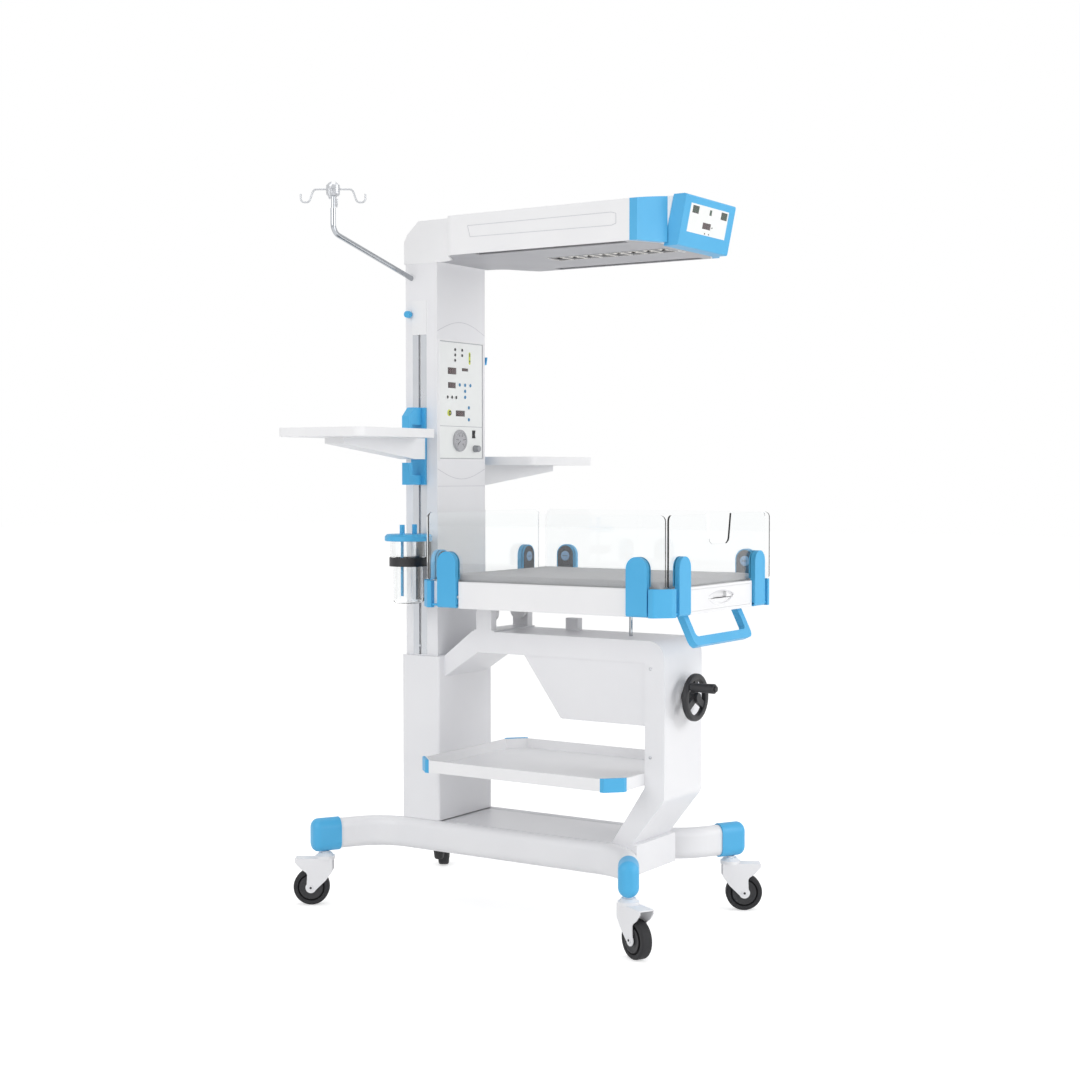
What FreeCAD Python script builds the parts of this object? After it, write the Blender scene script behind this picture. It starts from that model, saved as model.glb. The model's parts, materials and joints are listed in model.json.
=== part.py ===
import FreeCAD, Part
import math
import os
import Sketcher
from FreeCAD import Placement, Rotation, Vector

# Infant radiant warmer, millimetres. +Z is up, the front faces -Y and the column stands at +Y.
# The origin is on the floor, midway between the four castor stems.

TABLE = [
    # fits between pieces
    ("shaft_fit", 0.05),
    ("slide_gap", 0.3),
    # castors
    ("stem_x", 280),
    ("stem_y", 490),
    ("stem_radius", 6),
    ("stem_top", 214),
    ("castor_trail", 38),
    ("wheel_radius", 50),
    ("wheel_width", 32),
    ("tread_round", 6),
    ("axle_radius", 4),
    ("fork_width", 43),
    ("fork_sheet", 2.5),
    ("fork_top", 131),
    ("race_radius", 27),
    ("steer_front_left", -117),
    ("steer_front_right", -57.2),
    ("steer_rear_left", 122.8),
    ("steer_rear_right", 32.9),
    # base beams and their caps
    ("beam_x", 127.5),
    ("beam_width", 45),
    ("beam_bottom", 154),
    ("beam_top", 239),
    ("beam_wall", 3),
    ("beam_bend", 150),
    ("beam_splay", 60),
    ("plug_width", 42),
    ("plug_height", 40),
    ("plug_reach", 28),
    ("cap_half", 40),
    ("cap_cover", 4),
    ("cap_nose", 20),
    ("deck_top", 236),
    ("deck_thick", 10),
    ("deck_back", 337),
    ("cross_front", 413),
    ("cross_depth", 75),
    ("cross_height", 78),
    # column
    ("shroud_half", 130),
    ("shroud_front", 205),
    ("shroud_back", 333),
    ("shroud_top", 697),
    ("shroud_wall", 2.5),
    ("shroud_round", 8),
    ("mast_half", 116),
    ("mast_front", 219),
    ("mast_back", 327),
    ("mast_wall", 3),
    ("mast_cheek", 15),
    ("rail_middle", 279),
    ("rail_width", 48),
    ("rail_depth", 12),
    ("rail_bottom", 700),
    ("rail_top", 1591),
    ("rail_cover_top", 1685),
    ("rail_lip", 3),
    ("slot_width", 8),
    ("tee_width", 18),
    ("tee_depth", 5),
    # bed carrier
    ("carrier_half", 103),
    ("carrier_wall", 3),
    ("carrier_band", 58),
    ("carrier_top", 772),
    ("carrier_front", 493),
    ("carrier_step", 698),
    ("carrier_rise_back", 110),
    ("foot_front", 396),
    ("foot_back", 337),
    ("knee_height", 360),
    ("knee_inner", 389),
    ("gear_half", 98),
    ("gear_bottom", 550),
    ("gear_back", 175),
    ("gear_rise_back", 57),
    # tilt pivot, rod and handwheel
    ("tilt_y", 72),
    ("tilt_z", 821),
    ("pivot_radius", 6),
    ("post_width", 25),
    ("post_round", 25),
    ("lug_width", 13),
    ("rod_y", 334),
    ("rod_radius", 5),
    ("rod_bottom", 610),
    ("wheel_axis_y", 528),
    ("wheel_axis_z", 621),
    ("handwheel_radius", 62.5),
    ("rim_depth", 17),
    ("rim_width", 16),
    ("shaft_radius", 8),
    ("shaft_end", 400),
    ("grip_x", 40),
    ("grip_z", 31),
    ("grip_radius", 13),
    ("grip_length", 70),
    ("spindle_radius", 4),
    # storage shelf
    ("shelf_half", 245),
    ("shelf_bottom", 396),
    ("shelf_height", 32),
    ("shelf_floor", 4),
    ("shelf_rim", 6),
    ("shelf_chamfer", 38),
    ("guard_depth", 12),
    # controller in the mast
    ("case_half", 109),
    ("case_bottom", 1242),
    ("case_top", 1579),
    ("case_proud", 2),
    ("case_rim", 4),
    ("case_depth", 34),
    ("film_sunk", 3),
    ("film_thick", 2),
    ("dial_radius", 30.5),
    ("dial_x", 10),
    ("dial_z", 1298),
    ("knob_radius", 10),
    ("knob_x", 66),
    ("knob_z", 1276),
    ("knob_reach", 17),
    ("rocker_x", 61),
    ("rocker_z", 1317),
    ("rocker_width", 15),
    ("rocker_height", 22),
    # heater head
    ("head_bottom", 1788),
    ("head_side", 105),
    ("head_rise", 17),
    ("head_half", 225),
    ("head_front", 536),
    ("head_side_front", 479),
    ("head_cap_inner", 140),
    ("head_cap_front", 519),
    ("head_cap_depth", 22),
    ("head_side_back", 105),
    ("head_neck", 118),
    ("head_back", 331),
    ("head_wall", 3),
    ("lamp_plate", 3),
    ("grille_width", 62),
    ("grille_cell", 38),
    ("grille_bar", 8),
    ("grille_front", 450),
    ("grille_cells", 8),
    ("vent_width", 30),
    ("vent_length", 460),
    ("tube_radius", 6),
    ("screen_half", 137),
    ("screen_bottom", 1780),
    ("screen_top", 1908),
    ("screen_depth", 40),
    ("screen_margin", 33),
    ("screen_chin", 37),
    ("screen_brow", 20),
    # infusion pole
    ("pole_radius", 7),
    ("pole_y", 307),
    ("pole_root_z", 1749),
    ("pole_x", 455),
    ("pole_bend_z", 1838),
    ("pole_bend", 30),
    ("pole_top", 1901),
    ("pole_thin", 5),
    ("pole_tip", 1940),
    ("hub_radius", 18),
    ("hub_height", 35),
    ("hook_reach", 85),
    ("hook_wire", 2.5),
    ("hook_curl", 11),
    # instrument trays on the rails
    ("tray_inner_x", 151),
    ("tray_outer_x", 488),
    ("tray_front", 192),
    ("tray_back", 481),
    ("tray_base", 1303),
    ("tray_height", 24),
    ("tray_wall", 2.5),
    ("tray_pad", 1),
    ("tray_round", 24),
    ("tray_drop", 73),
    ("shoe_depth", 8.7),
    ("clamp_out", 182),
    ("clamp_bar", 15),
    ("clamp_width", 24),
    # suction unit
    ("jar_x", 200),
    ("jar_y", 256),
    ("jar_radius", 41),
    ("jar_bottom", 850),
    ("jar_height", 125),
    ("ring_deep", 24),
    ("ring_radius", 52.5),
    ("cup_radius", 50),
    ("cup_height", 45),
    ("jar_wall", 3),
    ("lid_radius", 65),
    ("lid_height", 19),
    # bed
    ("bed_half", 300),
    ("bed_front", 603),
    ("bed_back", 143),
    ("bed_bottom", 850),
    ("bed_rim", 920),
    ("bed_wall", 17),
    ("bed_floor", 890),
    ("bed_sheet", 5),
    ("mattress_top", 940),
    ("mattress_gap", 3),
    ("mattress_round", 12),
    ("block_proud", 8),
    ("block_chamfer", 38),
    ("block_length", 51),
    ("block_depth", 21),
    ("block_top", 921),
    ("recess_depth", 6.5),
    ("drawer_half", 170),
    ("drawer_low", 859),
    ("drawer_high", 913),
    ("drawer_plate", 5),
    ("drawer_back", 70),
    ("drawer_box_half", 167),
    ("drawer_box_top", 883.5),
    ("handle_x", 150),
    ("handle_y", 568),
    ("handle_drop", 70),
    ("handle_lean", 34),
    ("handle_wide", 24),
    ("handle_thick", 18),
    # clear panels and their arms
    ("hinge_inset", 1),
    ("hinge_height", 8),
    ("arm_half", 30),
    ("arm_thick", 14),
    ("arm_top", 142),
    ("panel_thick", 5),
    ("panel_low", 66),
    ("panel_high", 244),
    ("panel_round", 15),
    ("plate_thick", 3),
    ("pin_radius", 3),
    ("pin_length", 30),
    ("screw_radius", 4),
    ("side_middle", 238),
    ("side_panel_half", 361),
    ("side_arm_at", 288),
    ("end_panel_half", 270),
    ("end_arm_at", 211),
    ("slot_half", 55),
    ("slot_low", 166),
]

doc = FreeCAD.newDocument("RadiantWarmer")
sheet = doc.addObject("Spreadsheet::Sheet", "Sizes")


class Size:
    """A dimension: its number, and the sheet expression that gives it."""

    def __init__(self, number, text=None):
        self.number = float(number)
        self.text = text if text else "%.10g" % number

    def __add__(self, other):
        other = as_size(other)
        return Size(self.number + other.number, "(%s + %s)" % (self.text, other.text))

    def __radd__(self, other):
        return as_size(other) + self

    def __sub__(self, other):
        other = as_size(other)
        return Size(self.number - other.number, "(%s - %s)" % (self.text, other.text))

    def __rsub__(self, other):
        return as_size(other) - self

    def __mul__(self, other):
        other = as_size(other)
        return Size(self.number * other.number, "(%s * %s)" % (self.text, other.text))

    def __rmul__(self, other):
        return as_size(other) * self

    def __truediv__(self, other):
        other = as_size(other)
        return Size(self.number / other.number, "(%s / %s)" % (self.text, other.text))

    def __neg__(self):
        return Size(-self.number, "(0 - %s)" % self.text)


def as_size(value):
    return value if isinstance(value, Size) else Size(value)


def root(value):
    return Size(math.sqrt(value.number), "sqrt(%s)" % value.text)


def sine(degrees):
    return Size(math.sin(math.radians(degrees.number)), "sin(%s)" % degrees.text)


def cosine(degrees):
    return Size(math.cos(math.radians(degrees.number)), "cos(%s)" % degrees.text)


def angle_of(slope):
    return Size(math.degrees(math.atan(slope.number)), "(atan(%s) / 1 deg)" % slope.text)


class Named:
    """The sheet's cells as attributes."""


d = Named()
for line, (alias, value) in enumerate(TABLE, 1):
    sheet.set("A%d" % line, alias)
    sheet.set("B%d" % line, str(value))
    sheet.setAlias("B%d" % line, alias)
    setattr(d, alias, Size(value, "Sizes." + alias))
doc.recompute()

nodes = []
cuts = []


def bind(thing, path, value):
    thing.setExpression(path, as_size(value).text)


def new_body(label, kept=True):
    body = doc.addObject("PartDesign::Body", label)
    body.Label = label
    if kept:
        nodes.append(body)
    return body


def origin_item(body, role):
    return [item for item in body.Origin.OriginFeatures if item.Role == role][0]


def place(thing, x=0, y=0, z=0, turn=None, about=(0, 0, 1)):
    if turn is not None:
        turn = as_size(turn)
        thing.Placement = Placement(Vector(), Rotation(Vector(*about), turn.number))
        bind(thing, "Placement.Rotation.Angle", turn)
    for axis, value in zip("xyz", (x, y, z)):
        bind(thing, "Placement.Base." + axis, value)


class Drawing:
    """Collects geometry and constraints, then puts them into one sketch."""

    def __init__(self, sketch):
        self.sketch = sketch
        self.rules = []
        self.bound = []

    def add(self, shape, helper=False):
        return self.sketch.addGeometry(shape, helper)

    def rule(self, *terms):
        self.rules.append(Sketcher.Constraint(*terms))

    def measure(self, value, *terms):
        value = as_size(value)
        self.bound.append((len(self.rules), value))
        self.rule(*(terms + (value.number,)))

    def pin(self, shape, end, u, v):
        self.measure(u, "DistanceX", -1, 1, shape, end)
        self.measure(v, "DistanceY", -1, 1, shape, end)

    def finish(self):
        first = self.sketch.ConstraintCount
        self.sketch.addConstraint(self.rules)
        for index, value in self.bound:
            bind(self.sketch, "Constraints[%d]" % (first + index), value)


def arc_of(centre, begin, end):
    """Counter-clockwise arc round a centre from one point to another."""
    first = math.atan2(begin.y - centre.y, begin.x - centre.x)
    last = math.atan2(end.y - centre.y, end.x - centre.x)
    circle = Part.Circle(centre, Vector(0, 0, 1), (begin - centre).Length)
    return Part.ArcOfCircle(circle, first, last)


def chain(corners, closed):
    """Outline through corners (u, v), (u, v, rounding) or (u, v, 0, radius of the arc that leaves it).

    A positive arc radius turns left on its way to the next corner, a negative one turns right.
    """

    def draw(sketch):
        drawing = Drawing(sketch)
        count = len(corners)
        points = [Vector(as_size(c[0]).number, as_size(c[1]).number, 0) for c in corners]
        enter = list(points)
        leave = list(points)
        centres = [None] * count
        for i, corner in enumerate(corners):
            if len(corner) != 3:
                continue
            radius = as_size(corner[2]).number
            back = (points[i - 1] - points[i]).normalize()
            onward = (points[(i + 1) % count] - points[i]).normalize()
            half = math.acos(back.dot(onward)) / 2
            enter[i] = points[i] + back * (radius / math.tan(half))
            leave[i] = points[i] + onward * (radius / math.tan(half))
            centres[i] = points[i] + (back + onward).normalize() * (radius / math.sin(half))
        runs = {}
        for i in range(count if closed else count - 1):
            a = leave[i]
            b = enter[(i + 1) % count]
            if len(corners[i]) < 4:
                runs[i] = (drawing.add(Part.LineSegment(a, b)), 1, 2)
                continue
            radius = as_size(corners[i][3]).number
            chord = b - a
            side = Vector(-chord.y, chord.x, 0).normalize() * math.copysign(1, radius)
            centre = (a + b) / 2 + side * math.sqrt(radius ** 2 - chord.Length ** 2 / 4)
            if radius > 0:
                runs[i] = (drawing.add(arc_of(centre, a, b)), 1, 2)
                drawing.measure(corners[i][3], "Radius", runs[i][0])
            else:
                runs[i] = (drawing.add(arc_of(centre, b, a)), 2, 1)
                drawing.measure(-corners[i][3], "Radius", runs[i][0])
        for i, corner in enumerate(corners):
            after = runs.get(i)
            before = runs.get((i - 1) % count) if closed or i else None
            if before is None or after is None:
                run, end = (after[0], after[1]) if after else (before[0], before[2])
                drawing.pin(run, end, corner[0], corner[1])
                continue
            if len(corner) != 3:
                drawing.rule("Coincident", before[0], before[2], after[0], after[1])
                drawing.pin(after[0], after[1], corner[0], corner[1])
                continue
            turn = (points[i] - enter[i]).cross(leave[i] - points[i]).z
            if turn > 0:
                arc = drawing.add(arc_of(centres[i], enter[i], leave[i]))
                first, last = 1, 2
            else:
                arc = drawing.add(arc_of(centres[i], leave[i], enter[i]))
                first, last = 2, 1
            point = drawing.add(Part.Point(points[i]), True)
            drawing.rule("Tangent", before[0], before[2], arc, first)
            drawing.rule("Tangent", arc, last, after[0], after[1])
            drawing.rule("PointOnObject", point, 1, before[0])
            drawing.rule("PointOnObject", point, 1, after[0])
            drawing.pin(point, 1, corner[0], corner[1])
            drawing.measure(corner[2], "Radius", arc)
        drawing.finish()

    return draw


def poly(*corners):
    return chain(corners, True)


def path(*corners):
    return chain(corners, False)


def rect(u0, v0, u1, v1, rounding=None):
    corners = [(u0, v0), (u1, v0), (u1, v1), (u0, v1)]
    if rounding is not None:
        corners = [corner + (rounding,) for corner in corners]
    return poly(*corners)


def disc(u, v, radius):
    def draw(sketch):
        drawing = Drawing(sketch)
        centre = Vector(as_size(u).number, as_size(v).number, 0)
        ring = drawing.add(Part.Circle(centre, Vector(0, 0, 1), as_size(radius).number))
        drawing.pin(ring, 3, u, v)
        drawing.measure(radius, "Radius", ring)
        drawing.finish()

    return draw


def pill(u0, v0, u1, v1, radius):
    """A bar with round ends between two centres."""

    def draw(sketch):
        drawing = Drawing(sketch)
        a = Vector(as_size(u0).number, as_size(v0).number, 0)
        b = Vector(as_size(u1).number, as_size(v1).number, 0)
        along = (b - a).normalize()
        side = Vector(-along.y, along.x, 0) * as_size(radius).number
        near = drawing.add(Part.LineSegment(a - side, b - side))
        tip = drawing.add(arc_of(b, b - side, b + side))
        far = drawing.add(Part.LineSegment(b + side, a + side))
        tail = drawing.add(arc_of(a, a + side, a - side))
        for one, two in ((near, tip), (tip, far), (far, tail), (tail, near)):
            drawing.rule("Tangent", one, 2, two, 1)
        drawing.pin(tip, 3, u1, v1)
        drawing.pin(tail, 3, u0, v0)
        drawing.measure(radius, "Radius", tip)
        drawing.measure(radius, "Radius", tail)
        drawing.finish()

    return draw


def sketch_on(body, plane, at, shapes):
    sketch = body.newObject("Sketcher::SketchObject", "Sketch")
    sketch.AttachmentSupport = [(origin_item(body, plane + "_Plane"), "")]
    sketch.MapMode = "FlatFace"
    at = as_size(at)
    bind(sketch, "AttachmentOffset.Base.z", -at if plane == "XZ" else at)
    for shape in shapes:
        shape(sketch)
    return sketch


def slab(body, plane, low, high, *shapes):
    """Pad between two coordinates along the normal of the plane."""
    low = as_size(low)
    high = as_size(high)
    pad = body.newObject("PartDesign::Pad", "Pad")
    pad.Profile = sketch_on(body, plane, high if plane == "XZ" else low, shapes)
    bind(pad, "Length", high - low)
    return pad


def cut(body, plane, low, high, *shapes):
    """Pocket between two coordinates along the normal of the plane."""
    low = as_size(low)
    high = as_size(high)
    before = body.Tip
    pocket = body.newObject("PartDesign::Pocket", "Pocket")
    pocket.Profile = sketch_on(body, plane, low if plane == "XZ" else high, shapes)
    bind(pocket, "Length", high - low)
    cuts.append((before, pocket))
    return pocket


def spin(body, plane, axis, *shapes):
    """Revolution about the sketch's own H_Axis or V_Axis."""
    sketch = sketch_on(body, plane, 0, shapes)
    turned = body.newObject("PartDesign::Revolution", "Revolution")
    turned.Profile = sketch
    turned.ReferenceAxis = (sketch, [axis])
    turned.Angle = 360
    return turned


def sweep(body, spine_plane, spine_at, spine, profile_plane, profile_at, *shapes):
    rail = sketch_on(body, spine_plane, spine_at, [spine])
    pipe = body.newObject("PartDesign::AdditivePipe", "Pipe")
    pipe.Profile = sketch_on(body, profile_plane, profile_at, shapes)
    pipe.Spine = (rail, [])
    pipe.Mode = "Frenet"
    return pipe


def edges_of(body, test):
    doc.recompute()
    shape = body.Tip.Shape
    return ["Edge%d" % (i + 1) for i, edge in enumerate(shape.Edges) if test(edge.CenterOfMass)]


def rounds(body, radius, test):
    names = edges_of(body, test)
    base = body.Tip
    fillet = body.newObject("PartDesign::Fillet", "Fillet")
    fillet.Base = (base, names)
    bind(fillet, "Radius", radius)
    return fillet


def hollow(body, wall, test):
    """Shell of one wall inside the body, open at the faces picked out by the test."""
    doc.recompute()
    base = body.Tip
    names = ["Face%d" % (i + 1) for i, face in enumerate(base.Shape.Faces) if test(face.CenterOfMass)]
    shell = body.newObject("PartDesign::Thickness", "Thickness")
    shell.Base = (base, names)
    bind(shell, "Value", wall)
    shell.Reversed = True
    shell.Join = 1
    cuts.append((base, shell))
    return shell


def pattern(body, kind, originals, settings):
    feature = body.newObject("PartDesign::" + kind, kind)
    feature.Originals = originals
    for name, value in settings.items():
        setattr(feature, name, value)
    body.Tip = feature
    return feature


def mirrored(label, source, normal, through=None, kept=True):
    copy = doc.addObject("Part::Mirroring", label)
    copy.Label = label
    copy.Source = source
    copy.Normal = Vector(*normal)
    if through is not None:
        bind(copy, "Base.y", through)
    if kept:
        nodes.append(copy)
    return copy


def group(label, members):
    compound = doc.addObject("Part::Compound", label)
    compound.Label = label
    compound.Links = members
    nodes.append(compound)
    return compound


def near(value, size):
    return abs(value - as_size(size).number) < 0.02


# Castors

def castor_fork(label, side_x, side_y, steer):
    body = new_body(label)
    half = d.fork_width / 2
    axle_x = d.castor_trail
    axle_z = d.wheel_radius
    slab(body, "XZ", -half, half, poly(
        (-22, d.fork_top), (-22, d.fork_top - 36, 8), (-3, d.fork_top - 61, 14),
        (axle_x - 11, axle_z - 9), (axle_x + 12, axle_z), (axle_x + 10, d.fork_top - 41, 12),
        (axle_x + 29, d.fork_top - 28, 10), (axle_x + 45, d.fork_top - 10), (axle_x + 45, d.fork_top)))
    slab(body, "XZ", -half, half, disc(axle_x, axle_z, 15))
    inner = half - d.fork_sheet
    cut(body, "XZ", -inner, inner, rect(-23, axle_z - 20, axle_x + 46, d.fork_top - 3))
    spin(body, "XZ", "V_Axis", poly(
        (0, d.fork_top - 3), (d.race_radius, d.fork_top - 3), (d.race_radius, d.fork_top + 7),
        (d.race_radius - 2, d.fork_top + 7), (d.race_radius - 9, d.fork_top + 15),
        (d.stem_radius + 6, d.fork_top + 15), (d.stem_radius + 6, d.beam_bottom - d.cap_cover - d.slide_gap),
        (d.stem_radius, d.beam_bottom - d.cap_cover - d.slide_gap), (d.stem_radius, d.stem_top),
        (0, d.stem_top)))
    slab(body, "XZ", -half - 3, half + 3, disc(axle_x, axle_z, d.axle_radius))
    slab(body, "XZ", half, half + 3, disc(axle_x, axle_z, d.axle_radius + 3))
    slab(body, "XZ", -half - 3, -half, disc(axle_x, axle_z, d.axle_radius + 3))
    place(body, side_x * d.stem_x, side_y * d.stem_y, 0, steer)


def castor_wheel(label, side_x, side_y, steer):
    body = new_body(label)
    half = d.wheel_width / 2
    hub = d.fork_width / 2 - d.fork_sheet - d.slide_gap
    bore = d.axle_radius + d.shaft_fit
    outer = d.wheel_radius
    spin(body, "YZ", "H_Axis", poly(
        (-hub, bore), (hub, bore), (hub, bore + 8), (half - 4, bore + 10), (half - 4, outer - 24),
        (half - 8, outer - 22), (half - 8, outer - 15), (half - 1, outer - 12),
        (half, outer, d.tread_round), (-half, outer, d.tread_round), (1 - half, outer - 12),
        (8 - half, outer - 15), (8 - half, outer - 22), (4 - half, outer - 24), (4 - half, bore + 10),
        (-hub, bore + 8)))
    place(body, side_x * d.stem_x + d.castor_trail * cosine(steer),
          side_y * d.stem_y + d.castor_trail * sine(steer), d.wheel_radius, steer)


CASTORS = [
    ("fl", -1, -1, d.steer_front_left),
    ("fr", 1, -1, d.steer_front_right),
    ("rl", -1, 1, d.steer_rear_left),
    ("rr", 1, 1, d.steer_rear_right),
]
for corner, side_x, side_y, steer in CASTORS:
    castor_fork("caster_fork_" + corner, side_x, side_y, steer)
    castor_wheel("caster_wheel_" + corner, side_x, side_y, steer)


# Base

def base_beams():
    """Bowed stadium tube that splays out to the two castor stems of its side."""
    middle = (d.beam_bottom + d.beam_top) / 2
    half = d.beam_width / 2
    rise = (d.beam_top - d.beam_bottom) / 2 - half
    offset = d.stem_x - d.beam_x
    bend_out = d.beam_bend * (1 - cosine(d.beam_splay))
    straight = (offset - bend_out) / sine(d.beam_splay)
    bend_y = d.stem_y - straight * cosine(d.beam_splay) - d.beam_bend * sine(d.beam_splay)
    body = new_body("base_beam_left")
    corner_y = bend_y + d.beam_bend * sine(d.beam_splay / 2) / cosine(d.beam_splay / 2)
    end_x = d.stem_x - d.cap_half * sine(d.beam_splay)
    end_y = d.stem_y - d.cap_half * cosine(d.beam_splay)
    spine = path((-d.beam_x, 0), (-d.beam_x, corner_y, d.beam_bend), (-end_x, end_y))
    tube = sweep(body, "XY", middle, spine, "XZ", 0,
                 pill(-d.beam_x, middle - rise, -d.beam_x, middle + rise, half),
                 pill(-d.beam_x, middle - rise, -d.beam_x, middle + rise, half - d.beam_wall))
    doc.recompute()
    pattern(body, "Mirrored", [tube], {"MirrorPlane": (origin_item(body, "XZ_Plane"), [""])})

    def across(side_y, along, side):
        x = -d.stem_x - along * sine(d.beam_splay) + side * cosine(d.beam_splay)
        y = d.stem_y + along * cosine(d.beam_splay) + side * sine(d.beam_splay)
        return (x, side_y * y)

    wide = d.plug_width / 2
    low = middle - d.plug_height / 2
    high = middle + d.plug_height / 2
    for side_y in (-1, 1):
        ring = [across(side_y, along, side) for along, side in (
            (-d.cap_half - 16, -wide), (d.plug_reach, -wide), (d.plug_reach, wide),
            (-d.cap_half - 16, wide))]
        slab(body, "XY", low, high, poly(*ring))
    for side_y in (-1, 1):
        cut(body, "XY", low, d.stem_top + 1, disc(-d.stem_x, side_y * d.stem_y, d.stem_radius + d.shaft_fit))
    mirrored("base_beam_right", body, (1, 0, 0))


def beam_end_caps():
    """Moulded caps over the beam ends, each round the head of a castor stem."""
    half = d.beam_width / 2 + d.cap_cover
    low = d.beam_bottom - d.cap_cover
    high = d.beam_top + d.cap_cover
    middle = (d.beam_bottom + d.beam_top) / 2
    caps = []
    for number, (side_x, side_y) in enumerate(((-1, -1), (1, -1), (-1, 1), (1, 1))):
        body = new_body("beam_cap_%d" % number, kept=False)
        slab(body, "YZ", -d.cap_half, d.cap_half, pill(0, low + half, 0, high - half, half))
        rounds(body, d.cap_nose, lambda c: near(c.x, d.cap_half))
        cut(body, "YZ", -d.cap_half, d.plug_reach, rect(
            -d.plug_width / 2, middle - d.plug_height / 2, d.plug_width / 2, middle + d.plug_height / 2))
        cut(body, "XY", low, middle - d.plug_height / 2, disc(0, 0, d.stem_radius + 2 * d.slide_gap))
        angle = side_y * (90 + side_x * -1 * d.beam_splay)
        place(body, side_x * d.stem_x, side_y * d.stem_y, 0, angle)
        caps.append(body)
    group("beam_end_caps", caps)


def base_deck():
    half = d.beam_width / 2
    rise_centre = d.beam_top - half
    reach = d.deck_top - d.deck_thick - rise_centre
    edge = d.beam_x - root(half * half - reach * reach) - d.slide_gap
    inner = d.beam_x - half
    back = d.cross_front - d.cross_depth
    body = new_body("base_deck")
    slab(body, "XY", d.deck_top - d.deck_thick, d.deck_top, rect(-edge, -back, edge, d.deck_back))
    slab(body, "XY", d.deck_top - d.cross_height, d.deck_top, rect(-inner, -d.cross_front, inner, -back))
    cut(body, "XY", d.deck_top - d.cross_height, d.deck_top - 4,
        rect(4 - inner, 4 - d.cross_front, inner - 4, -back - 4))


base_beams()
beam_end_caps()
base_deck()


# Column

def column():
    wall = d.shroud_wall
    body = new_body("lower_shroud")
    low = d.beam_top + d.slide_gap
    slab(body, "XY", low, d.shroud_top, rect(
        -d.shroud_half, d.shroud_front, d.shroud_half, d.shroud_back, d.shroud_round))
    cut(body, "XY", low, d.shroud_top - wall, rect(
        wall - d.shroud_half, d.shroud_front + wall, d.shroud_half - wall, d.shroud_back - wall,
        d.shroud_round - wall))
    cut(body, "XY", d.shroud_top - wall, d.shroud_top, rect(
        -d.mast_half, d.mast_front, d.mast_half, d.mast_back))
    cut(body, "XY", d.carrier_step - d.carrier_band, d.shroud_top, rect(
        -d.carrier_half, d.shroud_front, d.carrier_half, d.mast_front))

    body = new_body("mast")
    slab(body, "XY", d.deck_top, d.head_bottom, rect(
        -d.mast_half, d.mast_front, d.mast_half, d.mast_back))
    cut(body, "XY", d.deck_top, d.head_bottom, rect(
        d.mast_cheek - d.mast_half, d.mast_front + d.mast_wall,
        d.mast_half - d.mast_cheek, d.mast_back - d.mast_wall))
    front = d.rail_middle - d.rail_width / 2
    back = d.rail_middle + d.rail_width / 2
    deep = d.mast_half - d.rail_depth
    cut(body, "XY", d.rail_bottom, d.rail_cover_top,
        rect(-d.mast_half, front, -deep, back), rect(deep, front, d.mast_half, back))
    cut(body, "XZ", d.mast_front, d.mast_front + d.mast_wall,
        rect(-d.case_half, d.case_bottom, d.case_half, d.case_top))
    # the infusion pole enters the left cheek at its own slope
    run = d.pole_x - d.mast_half
    climb = d.pole_bend_z - d.pole_root_z
    hole = body.newObject("PartDesign::SubtractiveCylinder", "PoleHole")
    bind(hole, "Radius", d.pole_radius + d.shaft_fit)
    bind(hole, "Height", d.mast_cheek + 20)
    place(hole, -d.mast_half - 10, d.pole_y, d.pole_root_z + 10 * climb / run,
          90 + angle_of(climb / run), (0, 1, 0))

    body = new_body("side_rails")
    lip = d.mast_half - d.rail_lip
    tee = lip - d.tee_depth
    for side in (-1, 1):
        slab(body, "XY", d.rail_bottom, d.rail_top, poly(
            (side * deep, front), (side * d.mast_half, front),
            (side * d.mast_half, d.rail_middle - d.slot_width / 2),
            (side * lip, d.rail_middle - d.slot_width / 2), (side * lip, d.rail_middle - d.tee_width / 2),
            (side * tee, d.rail_middle - d.tee_width / 2), (side * tee, d.rail_middle + d.tee_width / 2),
            (side * lip, d.rail_middle + d.tee_width / 2), (side * lip, d.rail_middle + d.slot_width / 2),
            (side * d.mast_half, d.rail_middle + d.slot_width / 2), (side * d.mast_half, back),
            (side * deep, back)))

    body = new_body("rail_end_covers")
    for side in (-1, 1):
        slab(body, "XY", d.rail_top, d.rail_cover_top, poly(
            (side * deep, front), (side * (d.mast_half + 1.5), front), (side * (d.mast_half + 1.5), back),
            (side * deep, back)))

    body = new_body("cable_hook")
    hook = d.mast_half
    slab(body, "XZ", 222, 242, poly(
        (hook, 1517), (hook + 13, 1517, 5), (hook + 18, 1540), (hook + 14, 1540), (hook + 10, 1521.5),
        (hook + 4, 1521.5), (hook + 4, 1575), (hook, 1575)))


column()


# Bed carrier, shelf and tilt drive

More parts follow.
